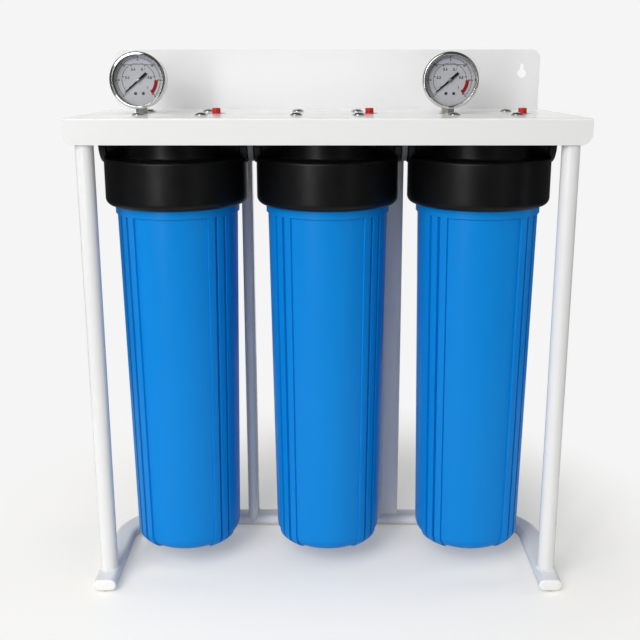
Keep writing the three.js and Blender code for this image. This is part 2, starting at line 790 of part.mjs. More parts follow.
function gaugeBezel() {
  const sleeve = caseRadius + bezelGap;
  const lipBack = -bezelFront + bezelLipDepth;
  const rear = -caseFront + bezelSleeve;
  return turned([
    [bezelLip, lipBack], [bezelLip, -bezelFront + bezelRound / 2],
    [bezelLip + bezelRound / 2, -bezelFront], [bezelRadius - bezelRound, -bezelFront],
    [bezelRadius, -bezelFront + bezelRound], [bezelRadius, rear], [sleeve, rear],
    [sleeve, lipBack], [bezelLip, lipBack],
  ], 'y', gaugeSides);
}

function gaugeLens() {
  const front = -bezelFront + bezelLipDepth + fitGap;
  return turned([[0, front], [caseRadius, front], [caseRadius, front + lensThickness],
    [0, front + lensThickness]], 'y', gaugeSides);
}

function gaugeDial() {
  const radius = caseRadius - caseWall - fitGap;
  return turned([
    [dialHole, -dialDepth - dialThickness], [radius, -dialDepth - dialThickness],
    [radius, -dialDepth], [dialHole, -dialDepth], [dialHole, -dialDepth - dialThickness],
  ], 'y', gaugeSides);
}

function gaugePointer() {
  const blade = new THREE.Shape();
  blade.moveTo(0, -pointerRootWidth / 2);
  blade.lineTo(pointerTip, -pointerTipWidth / 2);
  blade.lineTo(pointerTip, pointerTipWidth / 2);
  blade.lineTo(0, pointerRootWidth / 2);
  blade.lineTo(-pointerTail, pointerTailWidth / 2);
  blade.lineTo(-pointerTail, -pointerTailWidth / 2);
  blade.closePath();
  const back = -pointerDepth + pointerThickness;
  const needle = extrude(blade, pointerThickness, alongX, alongZ)
    .rotateY(-THREE.MathUtils.degToRad(pointerZeroAngle))
    .translate(0, back, 0);
  const hubFront = -pointerDepth - pointerThickness / 2;
  const hub = rod(pointerHub, hubFront, back + pointerThickness, 'y', smallSides);
  const shaft = rod(pointerShaft, back, -dialDepth + movementThickness, 'y', smallSides);
  return joined(solid(needle), solid(hub), solid(shaft));
}

function gaugeMovement() {
  const start = -Math.PI / 2 - THREE.MathUtils.degToRad(tubeOpenAngle) / 2 + 2 * Math.PI;
  const end = -Math.PI / 2;
  const [outer, inner] = [tubeRadius + tubeThickness / 2, tubeRadius - tubeThickness / 2];
  const bend = new THREE.Shape();
  bend.absarc(0, 0, outer, end, start, false);
  bend.absarc(0, 0, inner, start, end, true);
  bend.closePath();
  const plateFront = -dialDepth + fitGap;
  const plateBack = plateFront + movementThickness;
  const tube = extrude(bend, tubeDepth, alongX, alongZ).translate(0, plateBack + tubeDepth, 0);
  const across = [-movementHalf, movementHalf];
  const plate = block(across, [plateFront, plateBack], across);
  const half = movementLinkWidth / 2;
  const linkBottom = -caseRadius + socketSpigotRise;
  const linkZ = [linkBottom, -movementHalf + half];
  const link = block([-half, half], [plateFront, plateBack + tubeDepth], linkZ);
  const hole = rod(movementShaftHole, plateFront - overrun, plateBack + overrun, 'y', smallSides);
  return cut(joined(solid(tube), solid(plate), solid(link)), solid(hole));
}

function gaugeSocket() {
  const half = socketAcross / 2;
  const squareBottom = shelfTop + socketFoot;
  const squareTop = gaugeZ - caseRadius - fitGap;
  const square = block([-half, half], [-half, half], [squareBottom, squareTop]);
  const thread = rod(socketThread, shelfUnder - socketThreadLength, squareBottom + overrun);
  const spigot = rod(socketSpigot, squareTop - overrun, squareTop + socketSpigotRise, 'z', smallSides);
  return joined(solid(square), solid(thread), solid(spigot));
}

// Assembly

const filter = new THREE.Group();
const standing = new THREE.Group();
standing.position.y = (baseFront - bracketRear) / 2;
filter.add(standing);

function place(name, shape, finish, x = 0, y = 0, z = 0) {
  const geometry = shape instanceof THREE.BufferGeometry ? clean(shape) : surface(shape);
  const mesh = new THREE.Mesh(geometry, new THREE.MeshStandardMaterial(finishes[finish]));
  mesh.name = name;
  mesh.position.set(x, y, z);
  standing.add(mesh);
}

place('bracket', bracket(), 'whitePowder');
place('base_rail', baseRail(), 'whitePowder');
place('leg_left', leg(-railHalfSpan), 'whitePowder');
place('leg_right', leg(railHalfSpan), 'whitePowder');
place('rear_post_left', post(leftPostX, postThickness, postWidth), 'whitePowder');
place('rear_post_right', post(rightPostX, postWidth, postThickness), 'whitePowder');
place('rail_plug_left', railPlug(), 'whitePlastic', -railHalfSpan);
place('rail_plug_right', railPlug(), 'whitePlastic', railHalfSpan);
for (const { name, x, y } of glidePlaces()) place(name, glide(), 'clearRubber', x, y);
for (const { name, x, y } of screwPlaces()) place(name, screw(), 'steel', x, y);

for (const stage of stages) {
  const x = stageX(stage);
  place(`head_${stage}`, head(stage), 'blackPlastic', x);
  place(`sump_${stage}`, sump(), 'bluePlastic', x);
  place(`o_ring_${stage}`, oRing(), 'blackRubber', x);
  place(`cartridge_${stage}`, cartridge(), 'filterMedia', x);
  place(`relief_button_${stage}`, reliefButton(), 'redPlastic', x + reliefX);
  place(`relief_spring_${stage}`, reliefSpring(), 'steel', x + reliefX);
}
place('nipple_1_2', nipple(), 'greyPlastic', -housingPitch / 2);
place('nipple_2_3', nipple(), 'greyPlastic', housingPitch / 2);

for (const [side, stage] of Object.entries(gaugeStages)) {
  const x = stageX(stage) + gaugePortX;
  place(`gauge_${side}_case`, gaugeCase(), 'steel', x, 0, gaugeZ);
  place(`gauge_${side}_bezel`, gaugeBezel(), 'steel', x, 0, gaugeZ);
  place(`gauge_${side}_lens`, gaugeLens(), 'clearPlastic', x, 0, gaugeZ);
  place(`gauge_${side}_dial`, gaugeDial(), 'dialGrey', x, 0, gaugeZ);
  place(`gauge_${side}_pointer`, gaugePointer(), 'blackPaint', x, 0, gaugeZ);
  place(`gauge_${side}_movement`, gaugeMovement(), 'brass', x, 0, gaugeZ);
  place(`gauge_${side}_socket`, gaugeSocket(), 'steel', x);
}

export default filter;
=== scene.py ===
import math

import bmesh
import bpy
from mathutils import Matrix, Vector


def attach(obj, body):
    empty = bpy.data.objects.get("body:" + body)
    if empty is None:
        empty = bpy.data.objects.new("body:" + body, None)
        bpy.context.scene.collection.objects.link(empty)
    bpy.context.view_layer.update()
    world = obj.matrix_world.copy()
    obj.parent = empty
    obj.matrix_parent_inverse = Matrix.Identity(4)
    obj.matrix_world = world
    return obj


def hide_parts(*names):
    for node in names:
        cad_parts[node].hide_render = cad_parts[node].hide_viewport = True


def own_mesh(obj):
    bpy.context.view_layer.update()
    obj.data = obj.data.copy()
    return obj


# Three-stage water filter, dressed over its CAD frame.
# Every length in the dictionaries is in millimetres and every angle in degrees.

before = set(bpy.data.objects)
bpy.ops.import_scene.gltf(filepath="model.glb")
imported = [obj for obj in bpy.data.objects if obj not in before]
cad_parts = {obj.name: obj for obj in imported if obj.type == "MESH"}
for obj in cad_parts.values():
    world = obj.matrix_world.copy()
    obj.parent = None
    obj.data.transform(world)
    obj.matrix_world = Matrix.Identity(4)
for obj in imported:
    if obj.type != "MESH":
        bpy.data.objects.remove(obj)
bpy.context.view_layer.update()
print("frame loaded with", len(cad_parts), "nodes")

mm = 0.001
frameBody = "frame_and_heads"
stageX = {1: -196, 2: 0, 3: 196}
housingY = 11              # the plane that holds the three housing axes
gaugeX = {"left": -238, "right": 154}
gaugeZ = 652


# Meshes

poleRadius = 1e-6          # a turned ring smaller than this is one point


def meshFrom(points, faces):
    mesh = bpy.data.meshes.new("part")
    mesh.from_pydata([Vector(p) * mm for p in points], [], faces)
    work = bmesh.new()
    work.from_mesh(mesh)
    bmesh.ops.recalc_face_normals(work, faces=work.faces)
    work.to_mesh(mesh)
    work.free()
    return mesh


def skinRings(rings, loop=False):
    # A ring is a list of points, and a ring of one point is a pole
    points, numbered, faces = [], [], []
    for ring in rings:
        start = len(points)
        points.extend(ring)
        numbered.append(list(range(start, len(points))))
    pairs = list(zip(numbered, numbered[1:]))
    if loop:
        pairs.append((numbered[-1], numbered[0]))
    for low, high in pairs:
        count = max(len(low), len(high))
        for i in range(count):
            j = (i + 1) % count
            if len(low) == 1:
                faces.append((low[0], high[j], high[i]))
            elif len(high) == 1:
                faces.append((low[i], low[j], high[0]))
            else:
                faces.append((low[i], low[j], high[j], high[i]))
    if not loop:
        faces.extend(ring for ring in (numbered[0], numbered[-1]) if len(ring) > 2)
    return meshFrom(points, faces)


def turnPoint(radius, angle, along, axis):
    u = radius * math.cos(angle)
    v = radius * math.sin(angle)
    return {"z": (u, v, along), "y": (u, along, v), "x": (along, u, v)}[axis]


def turnMesh(profile, sides=96, axis="z", loop=False):
    rings = []
    for radius, along in profile:
        count = 1 if radius < poleRadius else sides
        turns = [2 * math.pi * i / sides for i in range(count)]
        rings.append([turnPoint(radius, turn, along, axis) for turn in turns])
    return skinRings(rings, loop)


def rodMesh(radius, low, high, axis="z", sides=40):
    return turnMesh([(0, low), (radius, low), (radius, high), (0, high)], sides, axis)


def softCorners(corners, closed=False, steps=6):
    # Corners are (u, v) or (u, v, radius of the rounding)
    path = []
    last = len(corners) - 1
    for i, corner in enumerate(corners):
        radius = corner[2] if len(corner) > 2 else 0
        if radius == 0 or (not closed and i in (0, last)):
            path.append(corner[:2])
            continue
        here = Vector(corner[:2])
        back = (Vector(corners[i - 1][:2]) - here).normalized()
        ahead = (Vector(corners[(i + 1) % (last + 1)][:2]) - here).normalized()
        half = back.angle(ahead) / 2
        middle = here + (back + ahead).normalized() * (radius / math.sin(half))
        first = here + back * (radius / math.tan(half)) - middle
        final = here + ahead * (radius / math.tan(half)) - middle
        sweep = math.atan2(first.x * final.y - first.y * final.x, first.dot(final))
        start = math.atan2(first.y, first.x)
        for s in range(steps + 1):
            angle = start + sweep * s / steps
            path.append((middle.x + radius * math.cos(angle), middle.y + radius * math.sin(angle)))
    return path


def softTurn(corners, sides, axis="z", loop=False, steps=6):
    return turnMesh(softCorners(corners, loop, steps), sides, axis, loop)


def arcPoints(centre, radius, first, last, steps):
    # Points on an arc from one angle to another
    turns = [math.radians(first + (last - first) * i / steps) for i in range(steps + 1)]
    return [(centre[0] + radius * math.cos(turn), centre[1] + radius * math.sin(turn))
            for turn in turns]


def ovalOutline(width, depth, steps):
    # A flat oval, straight sides between two half rounds
    nose = min(width, depth) / 2
    reachU, reachV = width / 2 - nose, depth / 2 - nose
    first = -90 if width >= depth else 0
    return (arcPoints((reachU, reachV), nose, first, first + 180, steps)
            + arcPoints((-reachU, -reachV), nose, first + 180, first + 360, steps))


def prismMesh(outline, axis, low, high):
    order = {"z": lambda u, v, w: (u, v, w), "y": lambda u, v, w: (u, w, v),
             "x": lambda u, v, w: (w, u, v)}[axis]
    return skinRings([[order(u, v, w) for u, v in outline] for w in (low, high)])


def shifted(mesh, x=0, y=0, z=0):
    moved = mesh.copy()
    for point in moved.vertices:
        point.co += Vector((x, y, z)) * mm
    return moved


def joined(*meshes):
    work = bmesh.new()
    for mesh in meshes:
        work.from_mesh(mesh)
    whole = bpy.data.meshes.new("part")
    work.to_mesh(whole)
    work.free()
    return whole


def carved(mesh, *cutters):
    # The mesh less the cutters, by Blender's exact boolean
    body = bpy.data.objects.new("carved", mesh)
    tool = bpy.data.objects.new("cutter", joined(*cutters))
    for part in (body, tool):
        bpy.context.collection.objects.link(part)
    cut = body.modifiers.new("cut", "BOOLEAN")
    cut.operation = "DIFFERENCE"
    cut.solver = "EXACT"
    cut.use_self = True        # cutters may overlap one another
    cut.object = tool
    bpy.context.view_layer.update()
    graph = bpy.context.evaluated_depsgraph_get()
    result = bpy.data.meshes.new_from_object(body.evaluated_get(graph))
    bpy.data.objects.remove(body)
    bpy.data.objects.remove(tool)
    return result


# Finishes. Colours are written as on screen, from 0 to 255.

finishes = {
    "whitePowder": {"slot": "white_powder", "colour": (233, 233, 233), "patches": 0.012,
                    "patchSize": 60, "rough": (0.20, 0.26), "grainSize": 1.3, "grainDepth": 0.006,
                    "gloss": 0.1, "coat": 0.5, "coatRough": 0.12},
    "weldedPowder": {"slot": "white_powder", "colour": (231, 231, 231), "patches": 0.03,
                     "patchSize": 6, "rough": (0.22, 0.30), "grainSize": 0.9, "grainDepth": 0.03,
                     "gloss": 0.1, "coat": 0.5, "coatRough": 0.12},
    "whitePlastic": {"slot": "white_plastic", "colour": (243, 243, 243), "patches": 0.01,
                     "patchSize": 12, "rough": (0.26, 0.34), "grainSize": 0.4, "grainDepth": 0.004},
    "clearRubber": {"slot": "clear_rubber", "colour": (214, 214, 210), "patches": 0.03,
                    "patchSize": 4, "rough": (0.30, 0.42), "grainSize": 0.5, "grainDepth": 0.005,
                    "clear": 0.45},
    "blackPlastic": {"slot": "black_plastic", "colour": (8, 8, 9), "patches": 0.10,
                     "patchSize": 25, "rough": (0.36, 0.43), "grainSize": 0.35, "grainDepth": 0.008,
                     "gloss": 0.25},
    "bluePlastic": {"slot": "blue_plastic", "colour": (10, 131, 214), "patches": 0.03,
                    "patchSize": 40, "rough": (0.30, 0.38), "grainSize": 0.5, "grainDepth": 0.004,
                    "gloss": 0.13},
    "blackRubber": {"slot": "black_rubber", "colour": (24, 24, 24), "patches": 0.1,
                    "patchSize": 5, "rough": (0.6, 0.75), "grainSize": 0.3, "grainDepth": 0.01},
    "filterMedia": {"slot": "filter_media", "colour": (232, 229, 218), "patches": 0.06,
                    "patchSize": 8, "rough": (0.85, 0.95), "grainSize": 0.8, "grainDepth": 0.25},
    "greyPlastic": {"slot": "grey_plastic", "colour": (96, 97, 99), "patches": 0.05,
                    "patchSize": 6, "rough": (0.32, 0.42), "grainSize": 0.3, "grainDepth": 0.006},
    "redPlastic": {"slot": "red_plastic", "colour": (196, 24, 18), "patches": 0.05,
                   "patchSize": 3, "rough": (0.22, 0.32), "grainSize": 0.4, "grainDepth": 0.004},
    "redPrint": {"slot": "red_plastic", "colour": (122, 8, 16), "patches": 0.04,
                 "patchSize": 2, "rough": (0.5, 0.6), "grainSize": 0.2, "grainDepth": 0.002,
                 "gloss": 0.1},
    "steel": {"slot": "steel", "colour": (196, 195, 192), "patches": 0.06, "patchSize": 3,
              "rough": (0.16, 0.26), "grainSize": 0.25, "grainDepth": 0.003, "metal": 1},
    "stemSteel": {"slot": "steel", "colour": (222, 219, 213), "patches": 0.05, "patchSize": 4,
                  "rough": (0.46, 0.54), "grainSize": 0.3, "grainDepth": 0.004, "metal": 1},
    "polishedSteel": {"slot": "polished_steel", "colour": (214, 213, 210), "patches": 0.03,
                      "patchSize": 9, "rough": (0.05, 0.09), "grainSize": 0.8,
                      "grainDepth": 0.001, "metal": 1},
    # Steel darker than the rest, used for the case and the hub; on the case's inner wall, seen
    # behind the lens, this darkness is painted shade
    "caseSteel": {"slot": "steel", "colour": (150, 149, 146), "patches": 0.05, "patchSize": 5,
                  "rough": (0.22, 0.32), "grainSize": 0.2, "grainDepth": 0.003, "metal": 1},
    "darkSteel": {"slot": "steel", "colour": (70, 69, 68), "patches": 0.08, "patchSize": 1,
                  "rough": (0.3, 0.4), "grainSize": 0.15, "grainDepth": 0.003, "metal": 1},
    "springSteel": {"slot": "spring_steel", "colour": (170, 170, 172), "patches": 0.08,
                    "patchSize": 1, "rough": (0.2, 0.3), "grainSize": 0.2, "grainDepth": 0.003,
                    "metal": 1},
    "brass": {"slot": "brass", "colour": (190, 160, 95), "patches": 0.08, "patchSize": 4,
              "rough": (0.22, 0.34), "grainSize": 0.3, "grainDepth": 0.004, "metal": 1},
    "dialGrey": {"slot": "dial_grey", "colour": (162, 162, 164), "patches": 0.015,
                 "patchSize": 14, "rough": (0.5, 0.6), "grainSize": 0.2, "grainDepth": 0.001,
                 "gloss": 0.1},
    "blackPaint": {"slot": "black_paint", "colour": (7, 7, 8), "patches": 0.1,
                   "patchSize": 1, "rough": (0.35, 0.45), "grainSize": 0.15, "grainDepth": 0.002,
                   "gloss": 0.1},
    "clearLens": {"slot": "clear_plastic", "colour": (250, 251, 252), "patches": 0.005,
                  "patchSize": 20, "rough": (0.0, 0.02), "grainSize": 8, "grainDepth": 0.0005,
                  "clear": 1.0, "index": 1.46},
    "airBubble": {"slot": "clear_plastic", "colour": (168, 167, 178), "patches": 0.02,
                  "patchSize": 6, "rough": (0.4, 0.5), "grainSize": 3, "grainDepth": 0.002},
}
plainLook = {"metal": 0, "gloss": 0.5, "coat": 0, "coatRough": 0.05, "clear": 0, "index": 1.5}
noiseLook = {"patchDetail": 3, "smudgeDetail": 4, "grainDetail": 2, "smudgeShare": 0.6,
             "cleanAt": 0.35, "wornAt": 0.65}
madeFinishes = {}


def toLinear(shade):
    # The sRGB curve, from a shade on screen to light
    shade = shade / 255
    return shade / 12.92 if shade <= 0.04045 else ((shade + 0.055) / 1.055) ** 2.4


def screenColour(shades):
    return [toLinear(shade) for shade in shades] + [1]


def fillInputs(tree, node, inputs):
    # Each input takes a value, or is linked to the output of another node
    for socket, value in inputs.items():
        if isinstance(value, bpy.types.NodeSocket):
            tree.links.new(value, node.inputs[socket])
        else:
            node.inputs[socket].default_value = value
    return node


def addNode(tree, kind, inputs):
    return fillInputs(tree, tree.nodes.new(kind), inputs)


def addMath(tree, operation, first, second):
    node = addNode(tree, "ShaderNodeMath", {0: first, 1: second})
    node.operation = operation
    return node.outputs["Value"]


def addBlend(tree, factor, first, second):
    node = tree.nodes.new("ShaderNodeMix")
    node.data_type = "RGBA"
    fillInputs(tree, node, {"Factor": factor, "A": first, "B": second})
    return node.outputs["Result"]


def addNoise(tree, place, size, detail):
    node = addNode(tree, "ShaderNodeTexNoise", {
        "Vector": place.outputs["Object"], "Scale": 1 / (size * mm), "Detail": detail})
    return node.outputs["Fac"]


def finishOf(name):
    if name in madeFinishes:
        return madeFinishes[name]
    look = {**plainLook, **finishes[name]}
    material = bpy.data.materials.new(name)
    material.use_nodes = True
    tree = material.node_tree
    place = tree.nodes.new("ShaderNodeTexCoord")

    # Slight patches of darker and lighter colour
    colour = [toLinear(shade) for shade in look["colour"]]
    darker = [shade * (1 - look["patches"]) for shade in colour] + [1]
    lighter = [min(1, shade * (1 + look["patches"])) for shade in colour] + [1]
    patches = addNoise(tree, place, look["patchSize"], noiseLook["patchDetail"])

    # Roughness drifts between two values, as on a handled surface
    smudges = addNoise(tree, place, look["patchSize"] * noiseLook["smudgeShare"],
                       noiseLook["smudgeDetail"])
    drift = addNode(tree, "ShaderNodeMapRange", {
        "Value": smudges, "From Min": noiseLook["cleanAt"], "From Max": noiseLook["wornAt"],
        "To Min": look["rough"][0], "To Max": look["rough"][1]})
    grain = addNode(tree, "ShaderNodeBump", {
        "Height": addNoise(tree, place, look["grainSize"], noiseLook["grainDetail"]),
        "Strength": 1, "Distance": look["grainDepth"] * mm})
    fillInputs(tree, tree.nodes["Principled BSDF"], {
        "Base Color": addBlend(tree, patches, darker, lighter),
        "Roughness": drift.outputs["Result"],
        "Normal": grain.outputs["Normal"],
        "Metallic": look["metal"],
        "Specular IOR Level": look["gloss"],
        "Coat Weight": look["coat"],
        "Coat Roughness": look["coatRough"],
        "Transmission Weight": look["clear"],
        "IOR": look["index"]})
    madeFinishes[name] = material
    return material


bevelFrom = 40             # corners sharper than this, in degrees, take a small bevel


def newPiece(name, mesh, finish, body, replaced=(), at=(0, 0, 0), edge=0, sharp=35):
    mesh.shade_smooth()
    mesh.set_sharp_from_angle(angle=math.radians(sharp))
    mesh.materials.clear()
    mesh.materials.append(finishOf(finish))
    piece = bpy.data.objects.new(name, mesh)
    bpy.context.collection.objects.link(piece)
    piece.location = Vector(at) * mm
    if edge:
        bevel = piece.modifiers.new("edge", "BEVEL")
        bevel.width = edge * mm
        bevel.segments = 2
        bevel.limit_method = "ANGLE"
        bevel.angle_limit = math.radians(bevelFrom)
    flat = piece.modifiers.new("flatShading", "WEIGHTED_NORMAL")
    flat.keep_sharp = True
    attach(piece, body)
    if replaced:
        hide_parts(*replaced)
    return piece


# Camera at the photograph's viewing angle

viewpoint = {"place": (0.2, -1218.3, 683.4), "pitch": 13.92, "lens": 53.15,
             "sensor": 36, "shiftX": -0.0122, "shiftY": -0.0490}


def buildCamera():
    lens = bpy.data.cameras.new("camera")
    lens.lens = viewpoint["lens"]
    lens.sensor_width = viewpoint["sensor"]
    lens.shift_x = viewpoint["shiftX"]
    lens.shift_y = viewpoint["shiftY"]
    camera = bpy.data.objects.new("camera", lens)
    camera.location = Vector(viewpoint["place"]) * mm
    camera.rotation_euler = (math.radians(90 - viewpoint["pitch"]), 0, 0)
    bpy.context.collection.objects.link(camera)
    bpy.context.scene.camera = camera


# Bracket: one sheet folded into flange, shelf and back plate

bracketSize = {"sheet": 2, "bend": 2.1, "front": -93, "rear": 114, "shelfTop": 610.4,
               "flangeBottom": 579, "plateTop": 690, "halfFront": 313.5, "halfRear": 290.5,
               "flangeCorner": 14, "plateCorner": 12, "edge": 0.45, "arcSteps": 8,
               "serviceHole": 12, "serviceSides": 48, "screwHole": 3.5, "screwSides": 24,
               "screwOffset": 39, "keyholeX": 266.5, "keyholeZ": 658.5, "keyholeRound": 6,
               "roundSteps": 32, "keyholeSlot": 5.5, "slotSteps": 12, "keyholeTop": 669.25}


def bracketStations():
    size = bracketSize
    half = size["sheet"] / 2
    steps = size["arcSteps"]
    arc = size["bend"] - half

    def halfWidth(y):
        share = (y - size["front"]) / (size["rear"] - size["front"])
        return size["halfFront"] + (size["halfRear"] - size["halfFront"]) * share

    def roundedEnd(y, z, width, corner, up):
        turns = [math.radians(90 * i / steps) for i in range(steps + 1)]
        return [(y, z + up * corner * (1 - math.cos(turn)), -1, 0,
                 width - corner * (1 - math.sin(turn))) for turn in turns[::up]]

    # Each station holds y, z, the upper side's direction in y and z, and the half width
    frontY = size["front"] + half
    stations = roundedEnd(frontY, size["flangeBottom"], halfWidth(frontY), size["flangeCorner"], 1)
    bends = ((size["front"] + size["bend"], size["shelfTop"] - size["bend"], 180, 1),
             (size["rear"] - size["bend"], size["shelfTop"] - size["sheet"] + size["bend"], -90, -1))
    for middleY, middleZ, first, side in bends:
        for i in range(steps + 1):
            turn = math.radians(first - side * 90 * i / steps)
            y = middleY + arc * math.cos(turn)
            stations.append((y, middleZ + arc * math.sin(turn), side * math.cos(turn),
                             side * math.sin(turn), halfWidth(y)))
    return stations + roundedEnd(size["rear"] - half, size["plateTop"], size["halfRear"],
                                 size["plateCorner"], -1)


def keyholeOutline():
    size = bracketSize
    half = size["keyholeSlot"] / 2
    opening = math.degrees(math.asin(half / size["keyholeRound"]))
    return (arcPoints((0, size["keyholeZ"]), size["keyholeRound"], 90 + opening, 450 - opening,
                      size["roundSteps"])
            + arcPoints((0, size["keyholeTop"]), half, 0, 180, size["slotSteps"]))


def buildBracket():
    size = bracketSize
    half = size["sheet"] / 2
    rings = []
    for y, z, sideY, sideZ, width in bracketStations():
        upper = (y + sideY * half, z + sideZ * half)
        lower = (y - sideY * half, z - sideZ * half)
        rings.append([(-width, *upper), (width, *upper), (width, *lower), (-width, *lower)])
    sheet = skinRings(rings)
    low, high = size["shelfTop"] - 2 * size["sheet"], size["shelfTop"] + size["sheet"]
    service = rodMesh(size["serviceHole"], low, high, sides=size["serviceSides"])
    screw = rodMesh(size["screwHole"], low, high, sides=size["screwSides"])
    cutters = []
    for stage, x in stageX.items():
        cutters.append(shifted(service, x + headBores["buttonX"], housingY))
        if stage != 2:
            cutters.append(shifted(service, x + headBores["gaugeX"], housingY))
        for sideX in (-1, 1):
            for sideY in (-1, 1):
                cutters.append(shifted(screw, x + sideX * size["screwOffset"],
                                       housingY + sideY * size["screwOffset"]))
    keyhole = prismMesh(keyholeOutline(), "y", size["rear"] - 2 * size["sheet"],
                        size["rear"] + size["sheet"])
    for side in (-1, 1):
        cutters.append(shifted(keyhole, side * size["keyholeX"]))
    newPiece("bracket_sheet", carved(sheet, *cutters), "whitePowder", frameBody, ["bracket"],
             edge=size["edge"], sharp=30)


# Base rail, legs, posts, plugs, glides and the weld beads between them

railSize = {"width": 30, "height": 15, "wall": 1.5, "centreZ": 9.5, "halfSpan": 291.5,
            "rearY": 77, "bend": 60, "endY": -111.5, "bendSteps": 28, "noseSteps": 12,
            "edge": 0.2, "tubeSteps": 24, "tubeSink": 0.4}
plugSize = {"face": 2.5, "insert": 12, "gap": 0.3}
plugCrown = ((0, 6.4), (0.02, 4.6), (0.12, 3.0), (0.4, 1.6), (0.9, 0.6), (1.6, 0.1))
glideSize = {"radius": 5, "height": 2, "pin": 2.5, "pinTop": 3.5, "frontY": -106.5, "rearX": 225,
             "edge": 0.6, "shoulder": 0.2, "pinEdge": 0.3, "sides": 40}
legSize = {"radius": 11, "wall": 1.5, "y": -79, "top": 608.4}
postSize = {"left": (-110.2, 15, 30), "right": (89, 30, 15), "wall": 1.5, "top": 608.4}
beadSize = {"radius": 1.7, "ripple": 0.16, "pitch": 2.6, "sides": 10, "step": 0.6, "flatShare": 0.9}


def railSurface(offset):
    # Height of the rail's top at a distance from its centre line
    size = railSize
    nose = size["height"] / 2
    past = max(0, abs(offset) - (size["width"] / 2 - nose))
    return size["centreZ"] + math.sqrt(max(0, nose * nose - past * past))


def railRings(width, height):
    size = railSize
    outline = ovalOutline(width, height, size["noseSteps"])
    stops = [(-size["halfSpan"], size["endY"], 180)]
    for side, first in ((-1, 180), (1, 90)):
        for i in range(size["bendSteps"] + 1):
            angle = first - 90 * i / size["bendSteps"]
            turn = math.radians(angle)
            stops.append((side * (size["halfSpan"] - size["bend"]) + size["bend"] * math.cos(turn),
                          size["rearY"] - size["bend"] + size["bend"] * math.sin(turn), angle))
    stops.append((size["halfSpan"], size["endY"], 0))
    rings = []
    for x, y, angle in stops:
        across = math.radians(angle)
        rings.append([(x + u * math.cos(across), y + u * math.sin(across), size["centreZ"] + v)
                      for u, v in outline])
    return rings


def tubeMesh(x, y, width, depth, wall, top, alongY):
    # A tube whose foot is coped over the rail, which runs along Y or along X
    rings = []
    for inset, atTop in ((0, False), (0, True), (2 * wall, True), (2 * wall, False)):
        ring = []
        for u, v in ovalOutline(width - inset, depth - inset, railSize["tubeSteps"]):
            foot = railSurface(u if alongY else y + v - railSize["rearY"])
            ring.append((x + u, y + v, top if atTop else foot - railSize["tubeSink"]))
        rings.append(ring)
    return skinRings(rings, loop=True)


def beadMesh(x, y, width, depth, alongY):
    # A rippled weld bead along the foot of a tube
    size = beadSize
    outline = []
    corners = ovalOutline(width, depth, railSize["tubeSteps"])
    for i, here in enumerate(corners):
        there = corners[(i + 1) % len(corners)]
        length = math.dist(here, there)
        parts = max(1, round(length / size["step"]))
        for s in range(parts):
            outline.append((here[0] + (there[0] - here[0]) * s / parts,
                            here[1] + (there[1] - here[1]) * s / parts))
    rings = []
    travelled = 0
    for i, (u, v) in enumerate(outline):
        after = outline[(i + 1) % len(outline)]
        before = outline[i - 1]
        travelled += math.dist((u, v), before)
        along = Vector((after[0] - before[0], after[1] - before[1])).normalized()
        outward = Vector((along.y, -along.x))
        swell = size["radius"] * (1 + size["ripple"] * math.sin(
            2 * math.pi * travelled / size["pitch"]))
        foot = railSurface(u if alongY else y + v - railSize["rearY"])
        ring = []
        for k in range(size["sides"]):
            angle = 2 * math.pi * k / size["sides"]
            reach = swell * math.cos(angle)
            ring.append((x + u + outward.x * reach, y + v + outward.y * reach,
                         foot + swell * math.sin(angle) * size["flatShare"]))
        rings.append(ring)
    return skinRings(rings, loop=True)


def buildBase():
    size = railSize
    bore = railRings(size["width"] - 2 * size["wall"], size["height"] - 2 * size["wall"])
    rail = skinRings(railRings(size["width"], size["height"]) + bore[::-1], loop=True)
    newPiece("base_rail_tube", rail, "whitePowder", frameBody, ["base_rail"],
             edge=size["edge"])

    inner = 2 * (size["wall"] + plugSize["gap"])
    front = size["endY"] - plugSize["face"]
    rings = [[(0, front, size["centreZ"])]]
    for depth, inset in (*plugCrown, (plugSize["face"], 0)):   # behind the face, in from the side
        outline = ovalOutline(size["width"] - 2 * inset, size["height"] - 2 * inset,
                              size["noseSteps"])
        rings.append([(u, front + depth, size["centreZ"] + v) for u, v in outline])
    for y in (size["endY"], size["endY"] + plugSize["insert"]):
        outline = ovalOutline(size["width"] - inner, size["height"] - inner, size["noseSteps"])
        rings.append([(u, y, size["centreZ"] + v) for u, v in outline])
    plug = skinRings(rings)
    glide = softTurn([
        (0, 0), (glideSize["radius"], 0, glideSize["edge"]),
        (glideSize["radius"], glideSize["height"], glideSize["shoulder"]),
        (glideSize["pin"], glideSize["height"]),
        (glideSize["pin"], glideSize["pinTop"], glideSize["pinEdge"]),
        (0, glideSize["pinTop"])], glideSize["sides"])
    for name, side in (("left", -1), ("right", 1)):
        x = side * size["halfSpan"]
        newPiece(f"rail_end_plug_{name}", plug, "whitePlastic", frameBody, [f"rail_plug_{name}"],
                 at=(x, 0, 0), sharp=50)
        newPiece(f"front_glide_{name}", glide, "clearRubber", frameBody, [f"glide_front_{name}"],
                 at=(x, glideSize["frontY"], 0))
        newPiece(f"rear_glide_{name}", glide, "clearRubber", frameBody, [f"glide_rear_{name}"],
                 at=(side * glideSize["rearX"], size["rearY"], 0))
        across = 2 * legSize["radius"]
        postX, width, depth = postSize[name]
        leg = (x, legSize["y"], across, across)
        post = (postX, size["rearY"], width, depth)
        for tube, weld, node, place, sheet, alongY in (
                (f"front_leg_{name}", f"leg_weld_{name}", f"leg_{name}", leg, legSize, True),
                (f"rear_post_tube_{name}", f"post_weld_{name}", f"rear_post_{name}", post, postSize,
                 False)):
            newPiece(tube, tubeMesh(*place, sheet["wall"], sheet["top"], alongY), "whitePowder",
                     frameBody, [node])
            newPiece(weld, beadMesh(*place, alongY), "weldedPowder", frameBody)


# Heads: cap ring, neck and two port bosses, moulded in one

